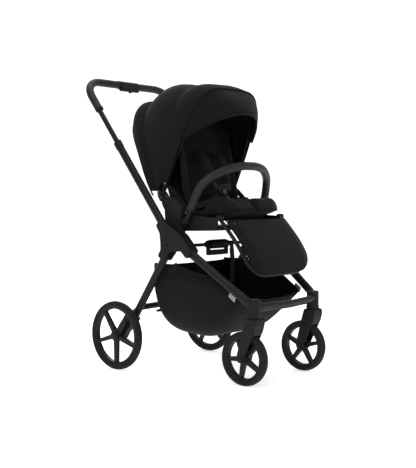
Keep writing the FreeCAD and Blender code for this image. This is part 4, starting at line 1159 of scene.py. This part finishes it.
@dataclass
class Hardware:
    """Caps, screws, stitching and other small fittings."""

    shop: Paintshop

    def wheels(self) -> None:
        """Hub caps on the outer faces of the rear wheels, and heads on both ends of the front axles."""
        for side, word in ((1, "left"), (-1, "right")):
            for end, radius in (("rear", 0.0165), ("front", 0.0120)):
                lo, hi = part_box("%s_wheel_%s_rim" % (end, word))
                lo, hi = np.array(lo), np.array(hi)
                mid = (lo + hi) / 2
                outer = np.array([hi[0] if side > 0 else lo[0], mid[1], mid[2]])
                if end == "rear":
                    seat = outer - np.array([side * 0.0005, 0, 0])
                    cap = Builder.button("rear_hub_cap_" + word, seat, (side, 0, 0), radius, 0.005)
                    self.shop.fasten(cap, "rim_black", "rear_wheel_" + word)
        for side, word in ((1, "left"), (-1, "right")):
            lo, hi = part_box("front_axle_" + word)
            lo, hi = np.array(lo), np.array(hi)
            mid = (lo + hi) / 2
            heads = [
                Builder.button("head", np.array([hi[0] - 0.0012, mid[1], mid[2]]), (1, 0, 0), 0.0085, 0.0035),
                Builder.button(
                    "head", np.array([lo[0] + 0.0012, mid[1], mid[2]]), (-1, 0, 0), 0.0085, 0.0035
                ),
            ]
            joined = Builder.join(heads, "front_axle_heads_" + word)
            self.shop.fasten(joined, "moulded_black", "caster_" + word)

    def hubs(self) -> None:
        """Pivot caps on the hub mouldings."""
        for side, word in ((1, "left"), (-1, "right")):
            x = side * 0.2652
            caps = [
                Builder.button("cap", at(x, 0.0343, 0.5372), (side, 0, 0), 0.0115, 0.0022),
                Builder.button("cap", at(x, 0.0335, 0.4684), (side, 0, 0), 0.0105, 0.0022),
            ]
            self.shop.fasten(Builder.join(caps, "hub_caps_" + word), "moulded_black", "chassis")

    def grips(self) -> None:
        """Stitched closing seams and collars of the handle grips."""
        lean = math.radians(52.2)
        along = np.array([0, math.cos(lean), math.sin(lean)])
        facing = np.array([0, -math.sin(lean), math.cos(lean)])
        pivot = at(0, 0.0343, 0.5372)

        def handle_point(x: float, distance: float) -> np.ndarray:
            return pivot + along * distance + np.array([x, 0, 0])

        for side, word in ((1, "left"), (-1, "right")):
            turn = np.linspace(0, math.pi / 2, 24)
            corner = 0.088
            bend = [
                handle_point(side * (0.157 + corner * math.cos(t)), 0.666 + corner * math.sin(t))
                for t in turn
            ]
            line = np.vstack([
                [handle_point(side * 0.245, d) for d in np.linspace(0.604, 0.664, 12)],
                bend,
                [handle_point(side * x, 0.754) for x in np.linspace(0.155, 0.060, 16)],
            ])
            seam = Builder.tube("handle_seam_" + word, resample(line - facing * 0.0153, 120), 0.0009, sides=6)
            self.shop.fasten(seam, "leather_black", "handle")
            collar = Builder.tube(
                "grip_collar_" + word,
                np.array([handle_point(side * 0.245, d) for d in np.linspace(0.597, 0.604, 6)]),
                0.0162,
                sides=28,
            )
            self.shop.fasten(collar, "moulded_black", "handle")

    def build(self) -> None:
        """Make all the fittings."""
        self.wheels()
        self.hubs()
        self.grips()


@dataclass
class Studio:
    """Floor, lights and camera."""

    camera_at: Point = (-2.5955, -2.2574, 0.6802)
    looking: Point = (0.7566, 0.6522, -0.0460)
    lens: float = 67.4

    def area(self, name: str, place: Point, size: float, power: float, target: Point = (0, 0, 0.55)) -> None:
        """Add a soft box.

        Args:
            name: light name.
            place: where it stands.
            size: its side.
            power: watts.
            target: what it faces.
        """
        data = bpy.data.lights.new(name, "AREA")
        data.shape = "SQUARE"
        data.size = size
        data.energy = power
        lamp = bpy.data.objects.new(name, data)
        lamp.location = place
        lamp.rotation_euler = (Vector(target) - Vector(place)).to_track_quat("-Z", "Y").to_euler()
        bpy.context.scene.collection.objects.link(lamp)

    def build(self) -> None:
        """Set out the studio."""
        data = bpy.data.cameras.new("camera")
        data.lens = self.lens
        data.sensor_width = 36.0
        data.clip_end = 100
        data.dof.use_dof = False
        camera = bpy.data.objects.new("camera", data)
        forward = Vector(self.looking).normalized()
        right = forward.cross(Vector((0, 0, 1))).normalized()
        up = right.cross(forward)
        turn = Matrix((right, up, -forward)).transposed().to_4x4()
        camera.matrix_world = Matrix.Translation(self.camera_at) @ turn
        bpy.context.scene.collection.objects.link(camera)
        bpy.context.scene.camera = camera
        self.area("key", (-2.8, -1.4, 2.7), 2.2, 70)
        self.area("fill", (1.6, -3.4, 1.5), 2.4, 26)
        self.area("top", (0.2, 0.5, 3.4), 2.6, 52)
        self.area("rim", (1.8, 2.4, 2.0), 1.6, 34)
        world = bpy.data.worlds.new("studio")
        world.use_nodes = True
        world.node_tree.nodes["Background"].inputs[0].default_value = (1, 1, 1, 1)
        world.node_tree.nodes["Background"].inputs[1].default_value = 0.34
        bpy.context.scene.world = world
        bpy.context.scene.view_settings.view_transform = "Standard"
        self.backdrop()

    def backdrop(self) -> None:
        """Make the pale paper sweep that the stroller stands on."""
        profile = [(-7.0, 0.0), (4.0, 0.0)]
        bend = np.linspace(0.08, math.pi / 2, 20)
        profile += [(4.0 + 3.0 * math.sin(t), 3.0 - 3.0 * math.cos(t)) for t in bend]
        profile.append((7.0, 9.0))
        forward = np.array([self.looking[0], self.looking[1], 0.0])
        forward /= np.linalg.norm(forward)
        sideways = np.array([-forward[1], forward[0], 0.0])
        grid = np.array([
            [forward * along + sideways * across + np.array([0, 0, height]) for across in (-11.0, 11.0)]
            for along, height in profile
        ])
        sweep = Builder.mesh("studio_sweep", grid.reshape(-1, 3), Builder.quads(len(profile), 2, flip=True))
        paper = bpy.data.materials.new("studio_paper")
        paper.use_nodes = True
        shader = paper.node_tree.nodes["Principled BSDF"]
        shader.inputs["Base Color"].default_value = (0.80, 0.80, 0.80, 1)
        shader.inputs["Roughness"].default_value = 0.95
        shader.inputs["Specular IOR Level"].default_value = 0.0
        shader.inputs["Emission Color"].default_value = (1, 1, 1, 1)
        shader.inputs["Emission Strength"].default_value = 0.62
        sweep.data.materials.append(paper)


def main() -> None:
    """Dress the frame and set up the studio."""
    logging.basicConfig(level=logging.INFO)
    shop = Paintshop(FINISHES)
    slots = {s["node"]: s["material_slot"] for s in frame["record"]["subparts"]}
    for name, obj in frame["nodes"].items():
        shop.give(obj, slots[name])
    Studio().build()
    Canopy(shop).build()
    seat = Seat(shop)
    seat.cushion()
    seat.back()
    seat.wings()
    seat.harness()
    Footrest(shop).build()
    Basket(shop).build()
    Hardware(shop).build()


if __name__ == "__main__":
    main()
